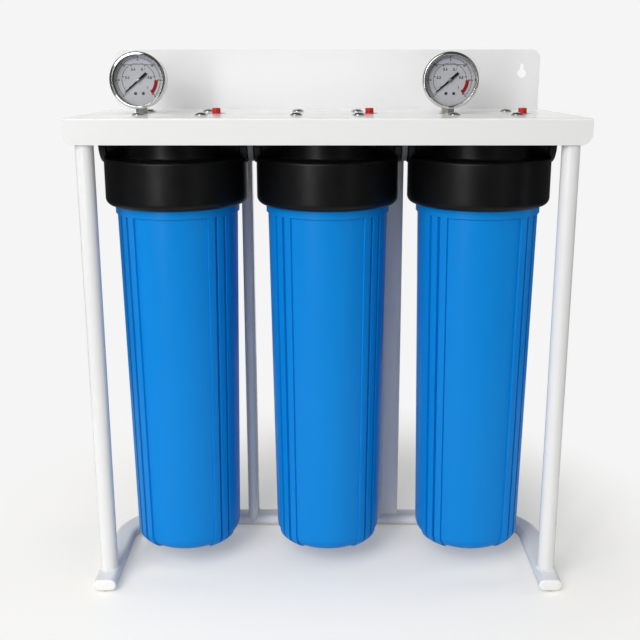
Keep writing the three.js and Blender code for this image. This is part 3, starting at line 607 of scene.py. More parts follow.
headSize = {"top": 608.4, "neck": 66, "ring": 92, "ringTop": 556, "ringBottom": 496,
            "topRound": 3, "bottomRound": 9, "neckEdge": 1, "neckFillet": 4, "ringBore": 81.4,
            "boreEdge": 0.6, "seatZ": 541.4, "dome": 62, "domeTop": 553, "domeRound": 2,
            "seatEdge": 1, "seatRadius": 17, "seatBottom": 545.6, "coreBore": 11, "coreEdge": 0.5,
            "sides": 144, "portZ": 578, "portHalf": 94, "portBore": 16.6, "overrun": 4}
bossSize = {"radius": 30, "inner": 55, "edge": 0.8, "round": 1.4, "collar": 9, "collarDrop": 1.6,
            "collarRound": 1, "sides": 72}
threadSize = {"pitch": 2.2, "depth": 1.1, "length": 22, "wall": 0.4, "inset": 1.2,
              "stepsPerTurn": 7, "sides": 64}
headBores = {"inletDropX": -46, "inletDrop": 9, "inletDropTop": 572, "buttonX": 53.5,
             "button": 5.8, "buttonDepth": 13, "pin": 2.8, "pinLow": 592.6, "pinTop": 596.4,
             "gaugeX": -42, "gauge": 6.9, "gaugeDepth": 13, "topOverrun": 2}


def portThread(side):
    # The tapped sleeve just inside an open port
    size = threadSize
    bore = headSize["portBore"]
    steps = size["stepsPerTurn"]
    turns = [i / size["sides"] for i in range(size["sides"])]
    mouth = headSize["portHalf"] - size["inset"]
    rings = []
    for i in range(round(size["length"] / size["pitch"] * steps) + 1):
        along = i / steps
        ring = []
        for turn in turns:
            crest = 1 - abs(2 * ((along + turn) % 1) - 1)
            ring.append(turnPoint(bore - size["depth"] * crest, 2 * math.pi * turn,
                                  side * (mouth - along * size["pitch"]), "x"))
        rings.append(ring)
    for along in (side * (mouth - size["length"]), side * mouth):
        rings.append([turnPoint(bore + size["wall"], 2 * math.pi * turn, along, "x")
                      for turn in turns])
    return shifted(skinRings(rings, loop=True), z=headSize["portZ"])


def bossMesh(side):
    size = bossSize
    bore = headSize["portBore"]
    face, root = side * headSize["portHalf"], side * size["inner"]
    collar = side * (headSize["portHalf"] - size["collar"])
    behind = size["radius"] - size["collarDrop"]
    boss = softTurn([
        (bore, face, size["edge"]), (size["radius"], face, size["round"]),
        (size["radius"], collar, size["edge"]),
        (behind, collar - side * size["collarDrop"], size["collarRound"]), (behind, root),
        (bore, root)], size["sides"], "x", loop=True, steps=4)
    return shifted(boss, z=headSize["portZ"])


def buildHeads():
    size, bores = headSize, headBores
    body = softTurn([
        (0, size["top"]), (size["neck"], size["top"], size["neckEdge"]),
        (size["neck"], size["ringTop"], size["neckFillet"]),
        (size["ring"], size["ringTop"], size["topRound"]),
        (size["ring"], size["ringBottom"], size["bottomRound"]),
        (size["ringBore"], size["ringBottom"], size["boreEdge"]),
        (size["ringBore"], size["seatZ"], size["seatEdge"]),
        (size["dome"], size["seatZ"], size["seatEdge"]),
        (size["dome"], size["domeTop"], size["domeRound"]),
        (size["seatRadius"], size["domeTop"], size["seatEdge"]),
        (size["seatRadius"], size["seatBottom"], size["coreEdge"]),
        (size["coreBore"], size["seatBottom"], size["coreEdge"]), (size["coreBore"], size["portZ"]),
        (0, size["portZ"])], size["sides"])
    leftBoss, rightBoss = bossMesh(-1), bossMesh(1)
    past = size["top"] + bores["topOverrun"]
    inlet = rodMesh(size["portBore"], -size["neck"] - size["overrun"], -size["seatRadius"], "x")
    outlet = rodMesh(size["portBore"], 0, size["neck"] + size["overrun"], "x")
    reliefBores = [
        shifted(rodMesh(bores["button"], size["top"] - bores["buttonDepth"], past),
                bores["buttonX"]),
        shifted(rodMesh(bores["pin"], bores["pinLow"], bores["pinTop"]), bores["buttonX"]),
    ]
    cutters = [
        shifted(inlet, z=size["portZ"]),
        shifted(outlet, z=size["portZ"]),
        shifted(rodMesh(bores["inletDrop"], size["domeTop"] - size["overrun"],
                        bores["inletDropTop"]), bores["inletDropX"]),
        *reliefBores,
    ]
    gaugeBore = shifted(rodMesh(bores["gauge"], size["top"] - bores["gaugeDepth"], past),
                        bores["gaugeX"])
    for stage, x in stageX.items():
        tools = cutters if stage == 2 else cutters + [gaugeBore]
        parts = [carved(body, *tools), leftBoss, carved(rightBoss, *reliefBores)]
        if stage == 1:
            parts.append(portThread(-1))
        if stage == 3:
            parts.append(portThread(1))
        newPiece(f"filter_head_{stage}", joined(*parts), "blackPlastic", frameBody,
                 [f"head_{stage}"], at=(x, housingY, 0), sharp=40)


# Sumps: tapered body with four groups of three ribs, and a collar under the ring

sumpSize = {"bottom": 24.8, "bottomRadius": 71, "topRadius": 77.8, "cornerRadius": 22,
            "cornerHeight": 20, "collar": 80.1, "collarTop": 495.7, "collarBottom": 485.3,
            "rim": 80.3, "rimTop": 540, "rimInner": 69, "wall": 7, "floor": 31, "seat": 17,
            "seatTop": 37, "seatBore": 11, "grooveCentre": 75, "grooveHalf": 2.9,
            "grooveBottom": 535.6, "thread": 1.3, "threadPitch": 6, "threadFrom": 499,
            "threadTo": 537, "threadRise": (0.05, 0.3), "threadFall": (0.55, 0.95),
            "threadRunOut": 3, "cornerSteps": 18, "wallSteps": 12, "collarEdge": 0.5,
            "ribEnd": 1.2, "lipRound": 0.6, "floorRound": 8, "seatRound": 0.8,
            "bottomShares": (0.45, 0.8),
            # Share of the step out to the collar, depth below it, share of the ribs' height
            "shoulder": ((0.12, 0.7, 0.95), (0.75, 0.2, 0.3), (1, -0.3, 0))}
ribSize = {"height": 2.3, "groups": (49.8, 130.2, 229.8, 310.2), "pitch": 10.3, "half": 4.0,
           "flank": 0.5, "flankSteps": 3, "crest": (0.9, 0.4), "groove": 2.0, "fadeFrom": 3,
           "fadeTo": 9, "stepsBetween": 14, "tolerance": 0.01}


def easeStep(value, low, high):
    share = min(1, max(0, (value - low) / (high - low)))
    return share * share * (3 - 2 * share)


def sumpDirections():
    # Angles from the front, each with how much of a rib stands there.
    # Between the ribs of a group the floor lies lower than the wall, so the share is negative.
    half, flank, pitch = ribSize["half"], ribSize["flank"], ribSize["pitch"]
    parts = ribSize["flankSteps"]
    side = [half - flank * i / parts for i in range(parts + 1)]
    side += [half * ribSize["crest"][0] - flank, half * ribSize["crest"][1], 0]
    offsets = sorted({round(sign * value, 4) for value in side for sign in (-1, 1)})
    low = -ribSize["groove"] / ribSize["height"]
    directions = []
    reach = pitch + half
    groups = ribSize["groups"]
    for group, after in zip(groups, (*groups[1:], groups[0] + 360)):
        for rib in (-pitch, 0, pitch):
            for offset in offsets:
                inGroup = abs(rib + offset) < reach - ribSize["tolerance"]
                foot = low if inGroup and abs(offset) > half - flank / 2 else 0
                rise = 1 - easeStep(abs(offset), half - flank, half)
                directions.append((group + rib + offset, foot + (1 - foot) * rise))
        start, end = group + reach, after - reach
        steps = ribSize["stepsBetween"]
        directions.extend((start + (end - start) * i / steps, 0) for i in range(1, steps))
    return directions


def sumpRing(directions, radius, z, rib=0, slope=0):
    # Slope is how far the wall faces down: 0 on the side, 90 on the bottom
    outward, down = math.cos(math.radians(slope)), math.sin(math.radians(slope))
    ring = []
    for degrees, share in directions:
        angle = math.radians(degrees - 90)
        reach = radius + rib * share * outward
        ring.append((reach * math.cos(angle), reach * math.sin(angle), z - rib * share * down))
    return ring


def threadRing(directions, z):
    size = sumpSize
    ring = []
    for degrees, _ in directions:
        angle = math.radians(degrees - 90)
        phase = (z / size["threadPitch"] - degrees / 360) % 1
        crest = easeStep(phase, *size["threadRise"]) * (1 - easeStep(phase, *size["threadFall"]))
        ends = easeStep(z, size["threadFrom"], size["threadFrom"] + size["threadRunOut"])
        ends *= 1 - easeStep(z, size["threadTo"] - size["threadRunOut"], size["threadTo"])
        reach = size["rim"] - size["thread"] * (1 - crest * ends)
        ring.append((reach * math.cos(angle), reach * math.sin(angle), z))
    return ring


def sumpMesh():
    size = sumpSize
    directions = sumpDirections()
    rib = ribSize["height"]
    flat = size["bottomRadius"] - size["cornerRadius"]
    rings = [[(0, 0, size["bottom"])]]
    for share in size["bottomShares"]:
        rings.append(sumpRing(directions, flat * share, size["bottom"]))
    for i in range(size["cornerSteps"] + 1):
        turn = 90 * i / size["cornerSteps"]
        radius = flat + size["cornerRadius"] * math.sin(math.radians(turn))
        z = size["bottom"] + size["cornerHeight"] * (1 - math.cos(math.radians(turn)))
        stand = rib * easeStep(turn, ribSize["fadeFrom"], ribSize["fadeTo"])
        rings.append(sumpRing(directions, radius, z, stand, 90 - turn))
    low = size["bottom"] + size["cornerHeight"]
    top = size["collarBottom"] - size["ribEnd"]
    for i in range(1, size["wallSteps"] + 1):
        share = i / size["wallSteps"]
        radius = size["bottomRadius"] + (size["topRadius"] - size["bottomRadius"]) * share
        rings.append(sumpRing(directions, radius, low + (top - low) * share, rib))
    step = size["collar"] - size["topRadius"]
    for share, z, stand in size["shoulder"]:
        rings.append(sumpRing(directions, size["topRadius"] + step * share,
                              size["collarBottom"] - z, rib * stand))
    edge = size["collarEdge"]
    rings.append(sumpRing(directions, size["collar"], size["collarTop"] - edge))
    rings.append(sumpRing(directions, size["collar"] - edge, size["collarTop"]))
    for z in range(size["threadFrom"], size["threadTo"] + 1):
        rings.append(threadRing(directions, z))
    groove = (size["grooveCentre"] + size["grooveHalf"], size["grooveCentre"] - size["grooveHalf"])
    inside = softCorners([
        (size["rim"] - size["thread"], size["rimTop"]), (groove[0], size["rimTop"]),
        (groove[0], size["grooveBottom"]), (groove[1], size["grooveBottom"]),
        (groove[1], size["rimTop"]), (size["rimInner"], size["rimTop"], size["lipRound"]),
        (size["rimInner"], size["collarBottom"]),
        (size["bottomRadius"] - size["wall"], size["floor"], size["floorRound"]),
        (size["seat"], size["floor"]), (size["seat"], size["seatTop"], size["seatRound"]),
        (size["seatBore"], size["seatTop"], size["seatRound"]), (size["seatBore"], size["floor"])])
    rings.extend(sumpRing(directions, radius, z) for radius, z in inside)
    rings.append([(0, 0, size["floor"])])
    return skinRings(rings)


def buildSumps():
    shell = sumpMesh()
    print("sump mesh", len(shell.polygons), "faces")
    for stage, x in stageX.items():
        newPiece(f"filter_sump_{stage}", shell, "bluePlastic", f"stage_{stage}_sump",
                 [f"sump_{stage}"], at=(x, housingY, 0), sharp=32)


# What sits inside: o-rings and cartridges

ringSize = {"centre": 75, "section": 2.6, "z": 538.5, "steps": 16, "sides": 96}
cartridgeSize = {"low": 37.3, "high": 545.3, "cap": 12, "capRadius": 57, "capEdge": 1.2,
                 "capRound": 0.8, "media": 55, "core": 13, "coreEdge": 0.6, "groove": 0.7,
                 "groovePitch": 7.4, "grooveHalf": 1.2, "plain": 4, "sides": 72}


def buildInsides():
    size = ringSize
    section = arcPoints((size["centre"], size["z"]), size["section"], 0, 360, size["steps"])[:-1]
    seal = turnMesh(section, size["sides"], loop=True)
    size = cartridgeSize
    low, high = size["low"] + size["cap"], size["high"] - size["cap"]
    corners = [(size["core"], size["low"], size["coreEdge"]),
               (size["capRadius"], size["low"], size["capEdge"]),
               (size["capRadius"], low, size["capRound"]), (size["media"], low)]
    upper = [(radius, low + high - z, *edge) for radius, z, *edge in corners[::-1]]
    for i in range(1, math.floor((high - low - 2 * size["plain"]) / size["groovePitch"])):
        z = low + size["plain"] + i * size["groovePitch"]
        corners += [(size["media"], z - size["grooveHalf"]), (size["media"] - size["groove"], z),
                    (size["media"], z + size["grooveHalf"])]
    cartridge = softTurn(corners + upper, size["sides"], loop=True, steps=3)
    for stage, x in stageX.items():
        newPiece(f"rim_seal_{stage}", seal, "blackRubber", f"stage_{stage}_sump",
                 [f"o_ring_{stage}"], at=(x, housingY, 0))
        newPiece(f"filter_cartridge_{stage}", cartridge, "filterMedia",
                 f"stage_{stage}_cartridge", [f"cartridge_{stage}"], at=(x, housingY, 0), sharp=50)


# Nipples between the heads, screws, relief buttons and their springs

nippleSize = {"reach": 23.9, "tube": 16.2, "edge": 0.6, "bore": 12, "collar": 28.5,
              "collarHalf": 3.6, "collarEdge": 0.9, "sides": 72, "places": {"1_2": -98, "2_3": 98}}
screwSize = {"flange": 8, "flangeHeight": 1.2, "flangeEdge": 0.35, "flangeRound": 0.6, "head": 6.3,
             "headFoot": (0.3, 0.15, 0.2), "height": 3.2, "domeSteps": 8, "fullness": 0.7,
             "shank": 2.9, "point": (0.8, 1.5), "length": 16, "sides": 40, "slotWidth": 1.2,
             "slotReach": 2.6, "slotDepth": 1.4, "overrun": 1}
buttonSize = {"radius": 5.4, "top": 617, "bottom": 602.4, "edge": 0.9, "footEdge": 0.3, "pin": 2.4,
              "pinBottom": 596.4, "pinEdge": 0.4, "dish": (3.4, 2.6), "dishDepth": 0.5,
              "dishEdge": 0.5, "sides": 48}
springSize = {"low": 596.25, "high": 601.55, "radius": 4.1, "wire": 0.5, "turns": 3,
              "stepsPerTurn": 24, "sides": 8}


def screwMesh():
    size = screwSize
    top, neck = size["height"], size["flangeHeight"]
    dome = []
    for i in range(size["domeSteps"] + 1):
        turn = math.radians(90 * i / size["domeSteps"])
        dome.append((size["head"] * math.cos(turn) ** size["fullness"],
                     neck + (top - neck) * math.sin(turn)))
    out, up, fillet = size["headFoot"]
    rim = softCorners([(size["shank"], 0), (size["flange"], 0, size["flangeEdge"]),
                       (size["flange"], neck, size["flangeRound"]),
                       (size["head"] + out, neck + up, fillet), dome[1]], steps=3)[:-1]
    inward, long = size["point"]
    profile = [(0, -size["length"]), (size["shank"] - inward, -size["length"]),
               (size["shank"], long - size["length"])] + rim + dome[1:-1] + [(0, top)]
    screw = turnMesh(profile, size["sides"])
    reach, half = size["slotReach"], size["slotWidth"] / 2
    for u, v in ((reach, half), (half, reach)):
        slot = prismMesh([(-u, -v), (u, -v), (u, v), (-u, v)], "z", top - size["slotDepth"],
                         top + size["overrun"])
        screw = carved(screw, slot)
    return screw


def springMesh():
    size = springSize
    rings = []
    steps = size["turns"] * size["stepsPerTurn"]
    for i in range(steps + 1):
        angle = 2 * math.pi * i / size["stepsPerTurn"]
        z = size["low"] + (size["high"] - size["low"]) * i / steps
        wire = arcPoints((size["radius"], z), size["wire"], 0, 360, size["sides"])[:-1]
        rings.append([turnPoint(reach, angle, height, "z") for reach, height in wire])
    return skinRings(rings)


def buildFittings():
    size = nippleSize
    edge, collarEdge = size["edge"], size["collarEdge"]
    half = [(size["bore"], size["reach"]), (size["tube"], size["reach"], edge),
            (size["tube"], size["collarHalf"]), (size["collar"], size["collarHalf"], collarEdge)]
    mirrored = [(radius, -along, *rounding) for radius, along, *rounding in half]
    nipple = softTurn(mirrored + half[::-1], size["sides"], "x", loop=True, steps=4)
    for name, x in size["places"].items():
        newPiece(f"port_nipple_{name}", nipple, "greyPlastic", frameBody, [f"nipple_{name}"],
                 at=(x, housingY, headSize["portZ"]))
    screw = screwMesh()
    size = buttonSize
    dishTop, dishFloor = size["top"], size["top"] - size["dishDepth"]
    button = softTurn([
        (0, size["pinBottom"]), (size["pin"], size["pinBottom"], size["pinEdge"]),
        (size["pin"], size["bottom"]), (size["radius"], size["bottom"], size["footEdge"]),
        (size["radius"], size["top"], size["edge"]), (size["dish"][0], dishTop, size["dishEdge"]),
        (size["dish"][1], dishFloor, size["dishEdge"]), (0, dishFloor)], size["sides"])
    spring = springMesh()
    offset = bracketSize["screwOffset"]
    for stage, x in stageX.items():
        for row, sideY in (("front", -1), ("rear", 1)):
            for side, sideX in (("left", -1), ("right", 1)):
                newPiece(f"shelf_screw_{stage}_{row}_{side}", screw, "steel", frameBody,
                         [f"screw_{stage}_{row}_{side}"],
                         at=(x + sideX * offset, housingY + sideY * offset,
                             bracketSize["shelfTop"]), sharp=40)
        place = (x + headBores["buttonX"], housingY, 0)
        newPiece(f"red_button_{stage}", button, "redPlastic", f"relief_{stage}",
                 [f"relief_button_{stage}"], at=place)
        coil = newPiece(f"button_spring_{stage}", spring.copy(), "springSteel", frameBody,
                        [f"relief_spring_{stage}"], at=place, sharp=60)
        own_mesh(coil)


# Gauges: case, bezel, lens, dial with its print, pointer and socket

gaugeSize = {"case": 33, "caseBack": 13, "caseFront": -16, "caseWall": 1.2, "backRound": (3, 2),
             "frontEdge": 0.2, "stemGap": 0.3, "overrun": 2, "bezelSides": 128,
             "bezelSteps": 7, "hubSides": 40, "lensFront": -18.5, "lensBack": -16.5,
             "lensEdge": 0.3, "dialFront": -10.8, "dialBack": -10, "dial": 31.5, "dialHole": 1.6,
             "dialEdge": 0.15, "socket": 11.3, "socketEdge": 0.5, "stemEdge": 0.3,
             "socketTurn": {"left": 258, "right": 262}, "socketLow": 611.2, "socketHigh": 618.7,
             "thread": 6.6, "threadLow": 596.4, "threadLead": 1, "threadRound": 48,
             "spigot": 5.8, "spigotTop": 625.7, "sides": 96}
# A profile is a row of places, each with its distance from the axis, its depth and its rounding
bezelProfile = ((31.2, -18.8, 0.2), (31.2, -20.9, 1.1), (31.9, -21.2, 0.5), (33.8, -20.9, 2),
                (35.1, -19.6, 1.2), (35.5, -15.2, 2), (35.5, -9, 0.8), (33.33, -9, 0.3),
                (33.33, -18.8, 0.3))
hubProfile = ((0, -13.4), (1.1, -13.4, 0.3), (1.3, -13.25), (2.0, -13.2, 0.2), (2.6, -12.9, 0.2),
              (2.6, -11.2), (1.1, -11.2), (1.1, -8), (0, -8))
fillSize = {"level": 19.6, "radius": 29.5, "meniscus": 0.9, "steps": 36, "bubbleFront": 0.04,
            "bubbleBack": 0.01, "lineFront": 0.06}
dialScrewSize = {"radius": 2, "edge": 0.3, "round": 0.2, "height": 0.5, "sides": 24,
                 "x": {"a": -4.6, "b": 5.2}, "z": -16.5}
dialPrint = {"line": 0.5, "bold": 1.1, "fine": 0.4, "minorTick": 0.55, "rise": 0.05, "sink": 0.1,
             "weight": 0.13, "letterScale": 1.38, "arcStep": 2.5}
dialScales = (
    {"arc": 21, "zero": 220, "span": 260, "marks": (0, 0.2, 0.4, 0.6, 0.8, 1), "text": 14.4,
     "height": 3.2, "tick": 2.2, "partsPerMark": 4, "outward": False},
    {"arc": 27.2, "zero": 225, "span": 270, "marks": (0, 25, 50, 75, 100, 125, 150),
     "text": 24.6, "height": 1.7, "tick": 1.9, "partsPerMark": 5, "outward": True},
)
redBand = {"from": 0, "to": -45, "inner": 19.8, "outer": 24.2, "lift": 0.01}
pointerSize = {"tip": 23, "tail": 13.5, "tipWidth": 0.5, "rootWidth": 1.2, "tailRoot": 2.4,
               "tailWidth": 1.6, "front": -12.8, "thickness": 0.8, "angle": 221, "edge": 0.1}


def dialArc(radius, width, fromAngle, toAngle, front):
    # A flat band on the dial, between two angles seen from the front
    steps = max(2, round(abs(toAngle - fromAngle) / dialPrint["arcStep"]))
    outline = (arcPoints((0, 0), radius + width / 2, fromAngle, toAngle, steps)
               + arcPoints((0, 0), radius - width / 2, toAngle, fromAngle, steps))
    return prismMesh(outline, "y", front - dialPrint["rise"], front + dialPrint["sink"])


def dialTick(radius, length, width, angle, front):
    turn = math.radians(angle)
    along = Vector((math.cos(turn), math.sin(turn)))
    across = Vector((-along.y, along.x)) * width / 2
    start, end = along * radius, along * (radius + length)
    outline = [tuple(start - across), tuple(end - across), tuple(end + across),
               tuple(start + across)]
    return prismMesh(outline, "y", front - dialPrint["rise"], front + dialPrint["sink"])


def dialNumber(text, radius, angle, height, front):
    letters = bpy.data.curves.new("number", "FONT")
    letters.body = text
    letters.size = height * mm * dialPrint["letterScale"]
    letters.align_x = "CENTER"
    letters.align_y = "CENTER"
    letters.extrude = dialPrint["rise"] * mm
    letters.offset = dialPrint["weight"] * mm
    carrier = bpy.data.objects.new("number", letters)
    bpy.context.collection.objects.link(carrier)
    bpy.context.view_layer.update()
    graph = bpy.context.evaluated_depsgraph_get()
    mesh = bpy.data.meshes.new_from_object(carrier.evaluated_get(graph))
    bpy.data.objects.remove(carrier)
    turn = math.radians(angle)
    centre = Vector((radius * math.cos(turn), front, radius * math.sin(turn))) * mm
    for point in mesh.vertices:
        flat = point.co.copy()
        point.co = Vector((flat.x, flat.z, flat.y)) + centre
    return mesh


def dialScale(scale):
    # One scale: its arc, its ticks and its numbers
    look = dialPrint
    front = gaugeSize["dialFront"]
    arc, zero, span = scale["arc"], scale["zero"], scale["span"]
    last = len(scale["marks"]) - 1
    parts = scale["partsPerMark"] * last
    marks = [dialArc(arc, look["line"], zero, zero - span, front)]
    for i in range(parts + 1):
        marked = i % scale["partsPerMark"] == 0
        length = scale["tick"] * (1 if marked else look["minorTick"])
        start = arc if scale["outward"] else arc - length
        marks.append(dialTick(start, length, look["bold"] if marked else look["fine"],
                              zero - span * i / parts, front))
    for i, value in enumerate(scale["marks"]):
        marks.append(dialNumber(str(value), scale["text"], zero - span * i / last, scale["height"],
                                front))
    return marks


def pointerMesh():
    size = pointerSize
    turn = math.radians(size["angle"])
    along = Vector((math.cos(turn), math.sin(turn)))
    across = Vector((-along.y, along.x))

    def blade(reach, width):
        return tuple(along * reach + across * width)

    outline = [blade(size["tip"], -size["tipWidth"]), blade(size["tip"], size["tipWidth"]),
               blade(0, size["rootWidth"]), blade(-size["tailRoot"], size["tailWidth"]),
               blade(-size["tail"], size["tailWidth"]), blade(-size["tail"], -size["tailWidth"]),
               blade(-size["tailRoot"], -size["tailWidth"]), blade(0, -size["rootWidth"])]
    return prismMesh(outline, "y", size["front"], size["front"] + size["thickness"])


def socketMesh(turn):
    size = gaugeSize
    lead = size["threadLead"]
    corners = arcPoints((0, 0), size["socket"] / math.sqrt(2), turn, turn + 360, 4)[:-1]
    square = prismMesh(softCorners([(*corner, size["socketEdge"]) for corner in corners],
                                   closed=True, steps=3), "z", size["socketLow"], size["socketHigh"])
    thread = turnMesh([(0, size["threadLow"]), (size["thread"] - lead, size["threadLow"]),
                       (size["thread"], size["threadLow"] + lead),
                       (size["thread"], size["socketLow"] + lead), (0, size["socketLow"] + lead)],
                      size["threadRound"])
    spigot = rodMesh(size["spigot"], size["socketHigh"] - lead, size["spigotTop"])
    return joined(square, thread, spigot)


def gaugeMeshes():
    size = gaugeSize
    wall, edge = size["caseWall"], size["frontEdge"]
    outer, inner = size["backRound"]
    case = softTurn([
        (0, size["caseBack"]), (size["case"], size["caseBack"], outer),
        (size["case"], size["caseFront"], edge), (size["case"] - wall, size["caseFront"], edge),
        (size["case"] - wall, size["caseBack"] - wall, inner), (0, size["caseBack"] - wall)],
        size["sides"], "y")
    hole = rodMesh(size["spigot"] + size["stemGap"], -size["case"] - size["overrun"],
                   -size["case"] / 2)
    lens = softTurn([
        (0, size["lensFront"]), (size["case"], size["lensFront"], size["lensEdge"]),
        (size["case"], size["lensBack"], size["lensEdge"]), (0, size["lensBack"])],
        size["sides"], "y")
    dial = softTurn([
        (size["dialHole"], size["dialFront"]), (size["dial"], size["dialFront"], size["dialEdge"]),
        (size["dial"], size["dialBack"]), (size["dialHole"], size["dialBack"])],
        size["sides"], "y", loop=True)
    return {"case": carved(case, hole), "bezel": softTurn(
        bezelProfile, size["bezelSides"], "y", loop=True, steps=size["bezelSteps"]),
            "lens": lens, "dial": dial}


def fillMeshes():
    # The air left above the liquid, and the dark line along the liquid's edge
    size = fillSize
    front = gaugeSize["dialFront"]
    turn = math.degrees(math.acos(size["level"] / size["radius"]))
    outline = arcPoints((0, 0), size["radius"], 90 - turn, 90 + turn, size["steps"])
    bubble = prismMesh(outline, "y", front - size["bubbleFront"], front - size["bubbleBack"])
    half = math.sqrt(size["radius"] ** 2 - size["level"] ** 2)
    low = size["level"] - size["meniscus"]
    line = [(-half, low), (half, low), (half, size["level"]), (-half, size["level"])]
    return bubble, prismMesh(line, "y", front - size["lineFront"], front)


def dialScrewMesh():
    size = dialScrewSize
    front = gaugeSize["dialFront"]
    return softTurn([(0, front - size["height"]),
                     (size["radius"], front - size["edge"], size["round"]),
                     (size["radius"], front), (0, front)], size["sides"], "y")


def buildGauges():
    shapes = gaugeMeshes()
    marks = joined(*(mark for scale in dialScales for mark in dialScale(scale)))
    red = redBand
    band = dialArc((red["inner"] + red["outer"]) / 2, red["outer"] - red["inner"], red["from"],
                   red["to"], gaugeSize["dialFront"] - red["lift"])
    bubble, meniscus = fillMeshes()
    dialScrew = dialScrewMesh()
    hub = softTurn(hubProfile, gaugeSize["hubSides"], "y")
    # The case takes the darker steel, whose darkness on its inner wall behind the lens is painted
    # shade
    gaugeFinishes = {"case": "caseSteel", "bezel": "polishedSteel", "lens": "clearLens",
                     "dial": "dialGrey"}
    for side, x in gaugeX.items():
        at = (x, housingY, gaugeZ)
        for part, mesh in shapes.items():
            piece = newPiece(f"{side}_gauge_{part}", mesh, gaugeFinishes[part], frameBody,
                             [f"gauge_{side}_{part}"], at=at, sharp=35)
            if part == "lens":
                piece.visible_shadow = False
        for part, mesh, finish in (("marks", marks, "blackPaint"), ("red_band", band, "redPrint"),
                                   ("bubble", bubble, "airBubble"),
                                   ("meniscus", meniscus, "greyPlastic")):
            newPiece(f"{side}_gauge_{part}", mesh, finish, frameBody, at=at)
        for place, offset in dialScrewSize["x"].items():
            newPiece(f"{side}_gauge_dial_screw_{place}", dialScrew, "darkSteel", frameBody,
                     at=(x + offset, housingY, gaugeZ + dialScrewSize["z"]))
        newPiece(f"{side}_gauge_needle", pointerMesh(), "blackPaint", f"pointer_{side}",
                 [f"gauge_{side}_pointer"], at=at, edge=pointerSize["edge"])
        newPiece(f"{side}_gauge_hub", hub, "caseSteel", f"pointer_{side}", at=at)
        newPiece(f"{side}_gauge_stem", socketMesh(gaugeSize["socketTurn"][side]), "stemSteel",
                 frameBody, [f"gauge_{side}_socket"], at=(x, housingY, 0),
                 edge=gaugeSize["stemEdge"])
        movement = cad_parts[f"gauge_{side}_movement"]
        movement.data.materials.clear()
        movement.data.materials.append(finishOf("brass"))


# Floor, backdrop and lamps

studio = {"floorColour": (229, 226, 219), "backdrop": (245, 245, 245), "floorRadius": 900,
          "floorSides": 96, "blendFrom": 270, "blendTo": 600, "glow": 0.24, "ambient": 0.21,
          "mirrorRoom": 0.08, "mirrorBackdrop": 0.95, "backdropFrom": 0.88, "backdropTo": 0.97}
lamps = {
    "keyPanel": {"place": (-1580, -2480, 2600), "aim": (0, 0, 400), "size": (2600, 2300),
                 "power": 72, "mirrored": True},
    "tallPanel": {"place": (-1180, -2220, 900), "aim": (0, 0, 400), "size": (420, 1700),
                  "power": 19, "mirrored": True},
    "rightPanel": {"place": (1440, -2060, 900), "aim": (0, 0, 400), "size": (380, 1700),
                   "power": 3, "mirrored": True},
    "leftSide": {"place": (-2200, 250, 700), "aim": (0, 0, 350), "size": (600, 1500),
                 "power": 9, "mirrored": False},
    "rightSide": {"place": (2200, 250, 700), "aim": (0, 0, 350), "size": (600, 1500),
                  "power": 12, "mirrored": False},
    "frontFill": {"place": (60, -2700, 320), "aim": (0, 0, 350), "size": (700, 900),
                  "power": 5, "mirrored": False},
    "topPanel": {"place": (-250, -100, 2300), "aim": (40, 20, 0), "size": (1200, 900),
                 "power": 9, "mirrored": False},
}


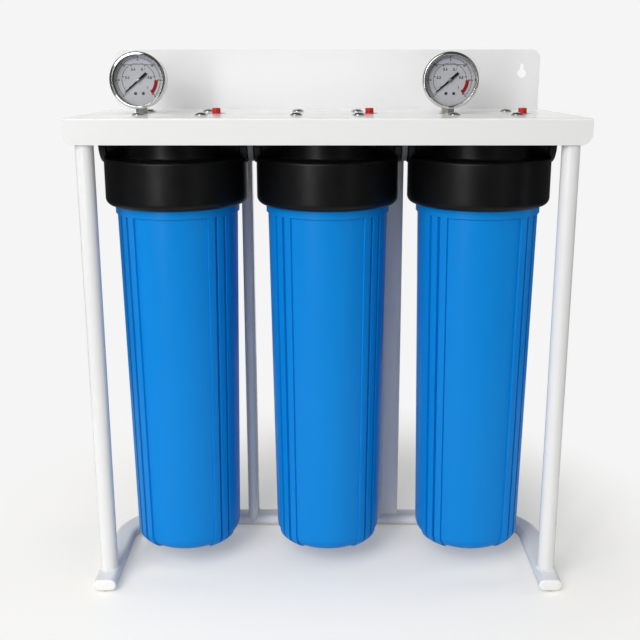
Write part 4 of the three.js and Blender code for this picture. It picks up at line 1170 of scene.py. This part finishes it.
def buildFloor():
    sides = studio["floorSides"]
    outline = arcPoints((0, 0), studio["floorRadius"], 0, 360, sides)[:-1]
    mesh = meshFrom([(*point, 0) for point in outline], [tuple(range(sides))])
    floor = bpy.data.objects.new("floor", mesh)
    bpy.context.collection.objects.link(floor)
    material = bpy.data.materials.new("studioFloor")
    material.use_nodes = True
    tree = material.node_tree
    tree.nodes.clear()

    # 1 for what the camera or the glass shows, and 0 for the light on things
    path = tree.nodes.new("ShaderNodeLightPath")
    seen = addMath(tree, "MAXIMUM", path.outputs["Is Camera Ray"],
                   path.outputs["Is Transmission Ray"])
    matte = addNode(tree, "ShaderNodeBsdfDiffuse", {"Color": screenColour(studio["floorColour"])})
    faint = addNode(tree, "ShaderNodeEmission", {
        "Strength": addMath(tree, "MULTIPLY", seen, studio["glow"])})
    lifted = addNode(tree, "ShaderNodeAddShader", {
        0: matte.outputs["BSDF"], 1: faint.outputs["Emission"]})

    # Away from the filter the floor turns into the backdrop
    place = tree.nodes.new("ShaderNodeTexCoord")
    reach = addNode(tree, "ShaderNodeVectorMath", {0: place.outputs["Object"]})
    reach.operation = "LENGTH"
    fade = addNode(tree, "ShaderNodeMapRange", {
        "Value": reach.outputs["Value"],
        "From Min": studio["blendFrom"] * mm, "From Max": studio["blendTo"] * mm})
    fade.interpolation_type = "SMOOTHSTEP"
    backdrop = addNode(tree, "ShaderNodeEmission", {"Color": screenColour(studio["backdrop"])})
    mix = addNode(tree, "ShaderNodeMixShader", {
        "Fac": addMath(tree, "MULTIPLY", fade.outputs["Result"], seen),
        1: lifted.outputs["Shader"], 2: backdrop.outputs["Emission"]})
    addNode(tree, "ShaderNodeOutputMaterial", {"Surface": mix.outputs["Shader"]})
    mesh.materials.append(material)


def buildLight():
    world = bpy.data.worlds.new("studio")
    bpy.context.scene.world = world
    world.use_nodes = True
    tree = world.node_tree

    # Metal and glass show the pale backdrop behind the filter and a dim room around it
    place = tree.nodes.new("ShaderNodeTexCoord")
    split = addNode(tree, "ShaderNodeSeparateXYZ", {"Vector": place.outputs["Generated"]})
    room = addNode(tree, "ShaderNodeMapRange", {
        "Value": split.outputs["Y"],
        "From Min": studio["backdropFrom"], "From Max": studio["backdropTo"],
        "To Min": studio["mirrorRoom"], "To Max": studio["mirrorBackdrop"]})
    path = tree.nodes.new("ShaderNodeLightPath")
    mirrored = addMath(tree, "MAXIMUM", path.outputs["Is Glossy Ray"],
                       path.outputs["Is Transmission Ray"])
    around = addNode(tree, "ShaderNodeMix", {
        "Factor": mirrored, "A": studio["ambient"], "B": room.outputs["Result"]})
    shown = addBlend(tree, path.outputs["Is Camera Ray"], around.outputs["Result"],
                     screenColour(studio["backdrop"]))
    fillInputs(tree, tree.nodes["Background"], {"Color": shown})
    for name, lamp in lamps.items():
        light = bpy.data.lights.new(name, "AREA")
        light.shape = "RECTANGLE"
        light.size, light.size_y = (s * mm for s in lamp["size"])
        light.energy = lamp["power"]
        panel = bpy.data.objects.new(name, light)
        panel.visible_glossy = lamp["mirrored"]
        panel.visible_transmission = lamp["mirrored"]
        panel.location = Vector(lamp["place"]) * mm
        aim = Vector(lamp["aim"]) * mm - panel.location
        panel.rotation_euler = aim.to_track_quat("-Z", "Y").to_euler()
        bpy.context.collection.objects.link(panel)


buildCamera()
buildBracket()
print("bracket made")
buildBase()
print("base rail, legs and posts made")
buildHeads()
print("heads made")
buildSumps()
print("sumps made")
buildInsides()
buildFittings()
print("cartridges, seals, nipples, screws, buttons and springs made")
buildGauges()
print("gauges made")
buildFloor()
buildLight()
bpy.context.scene.view_settings.view_transform = "Standard"
print("floor and lamps set")
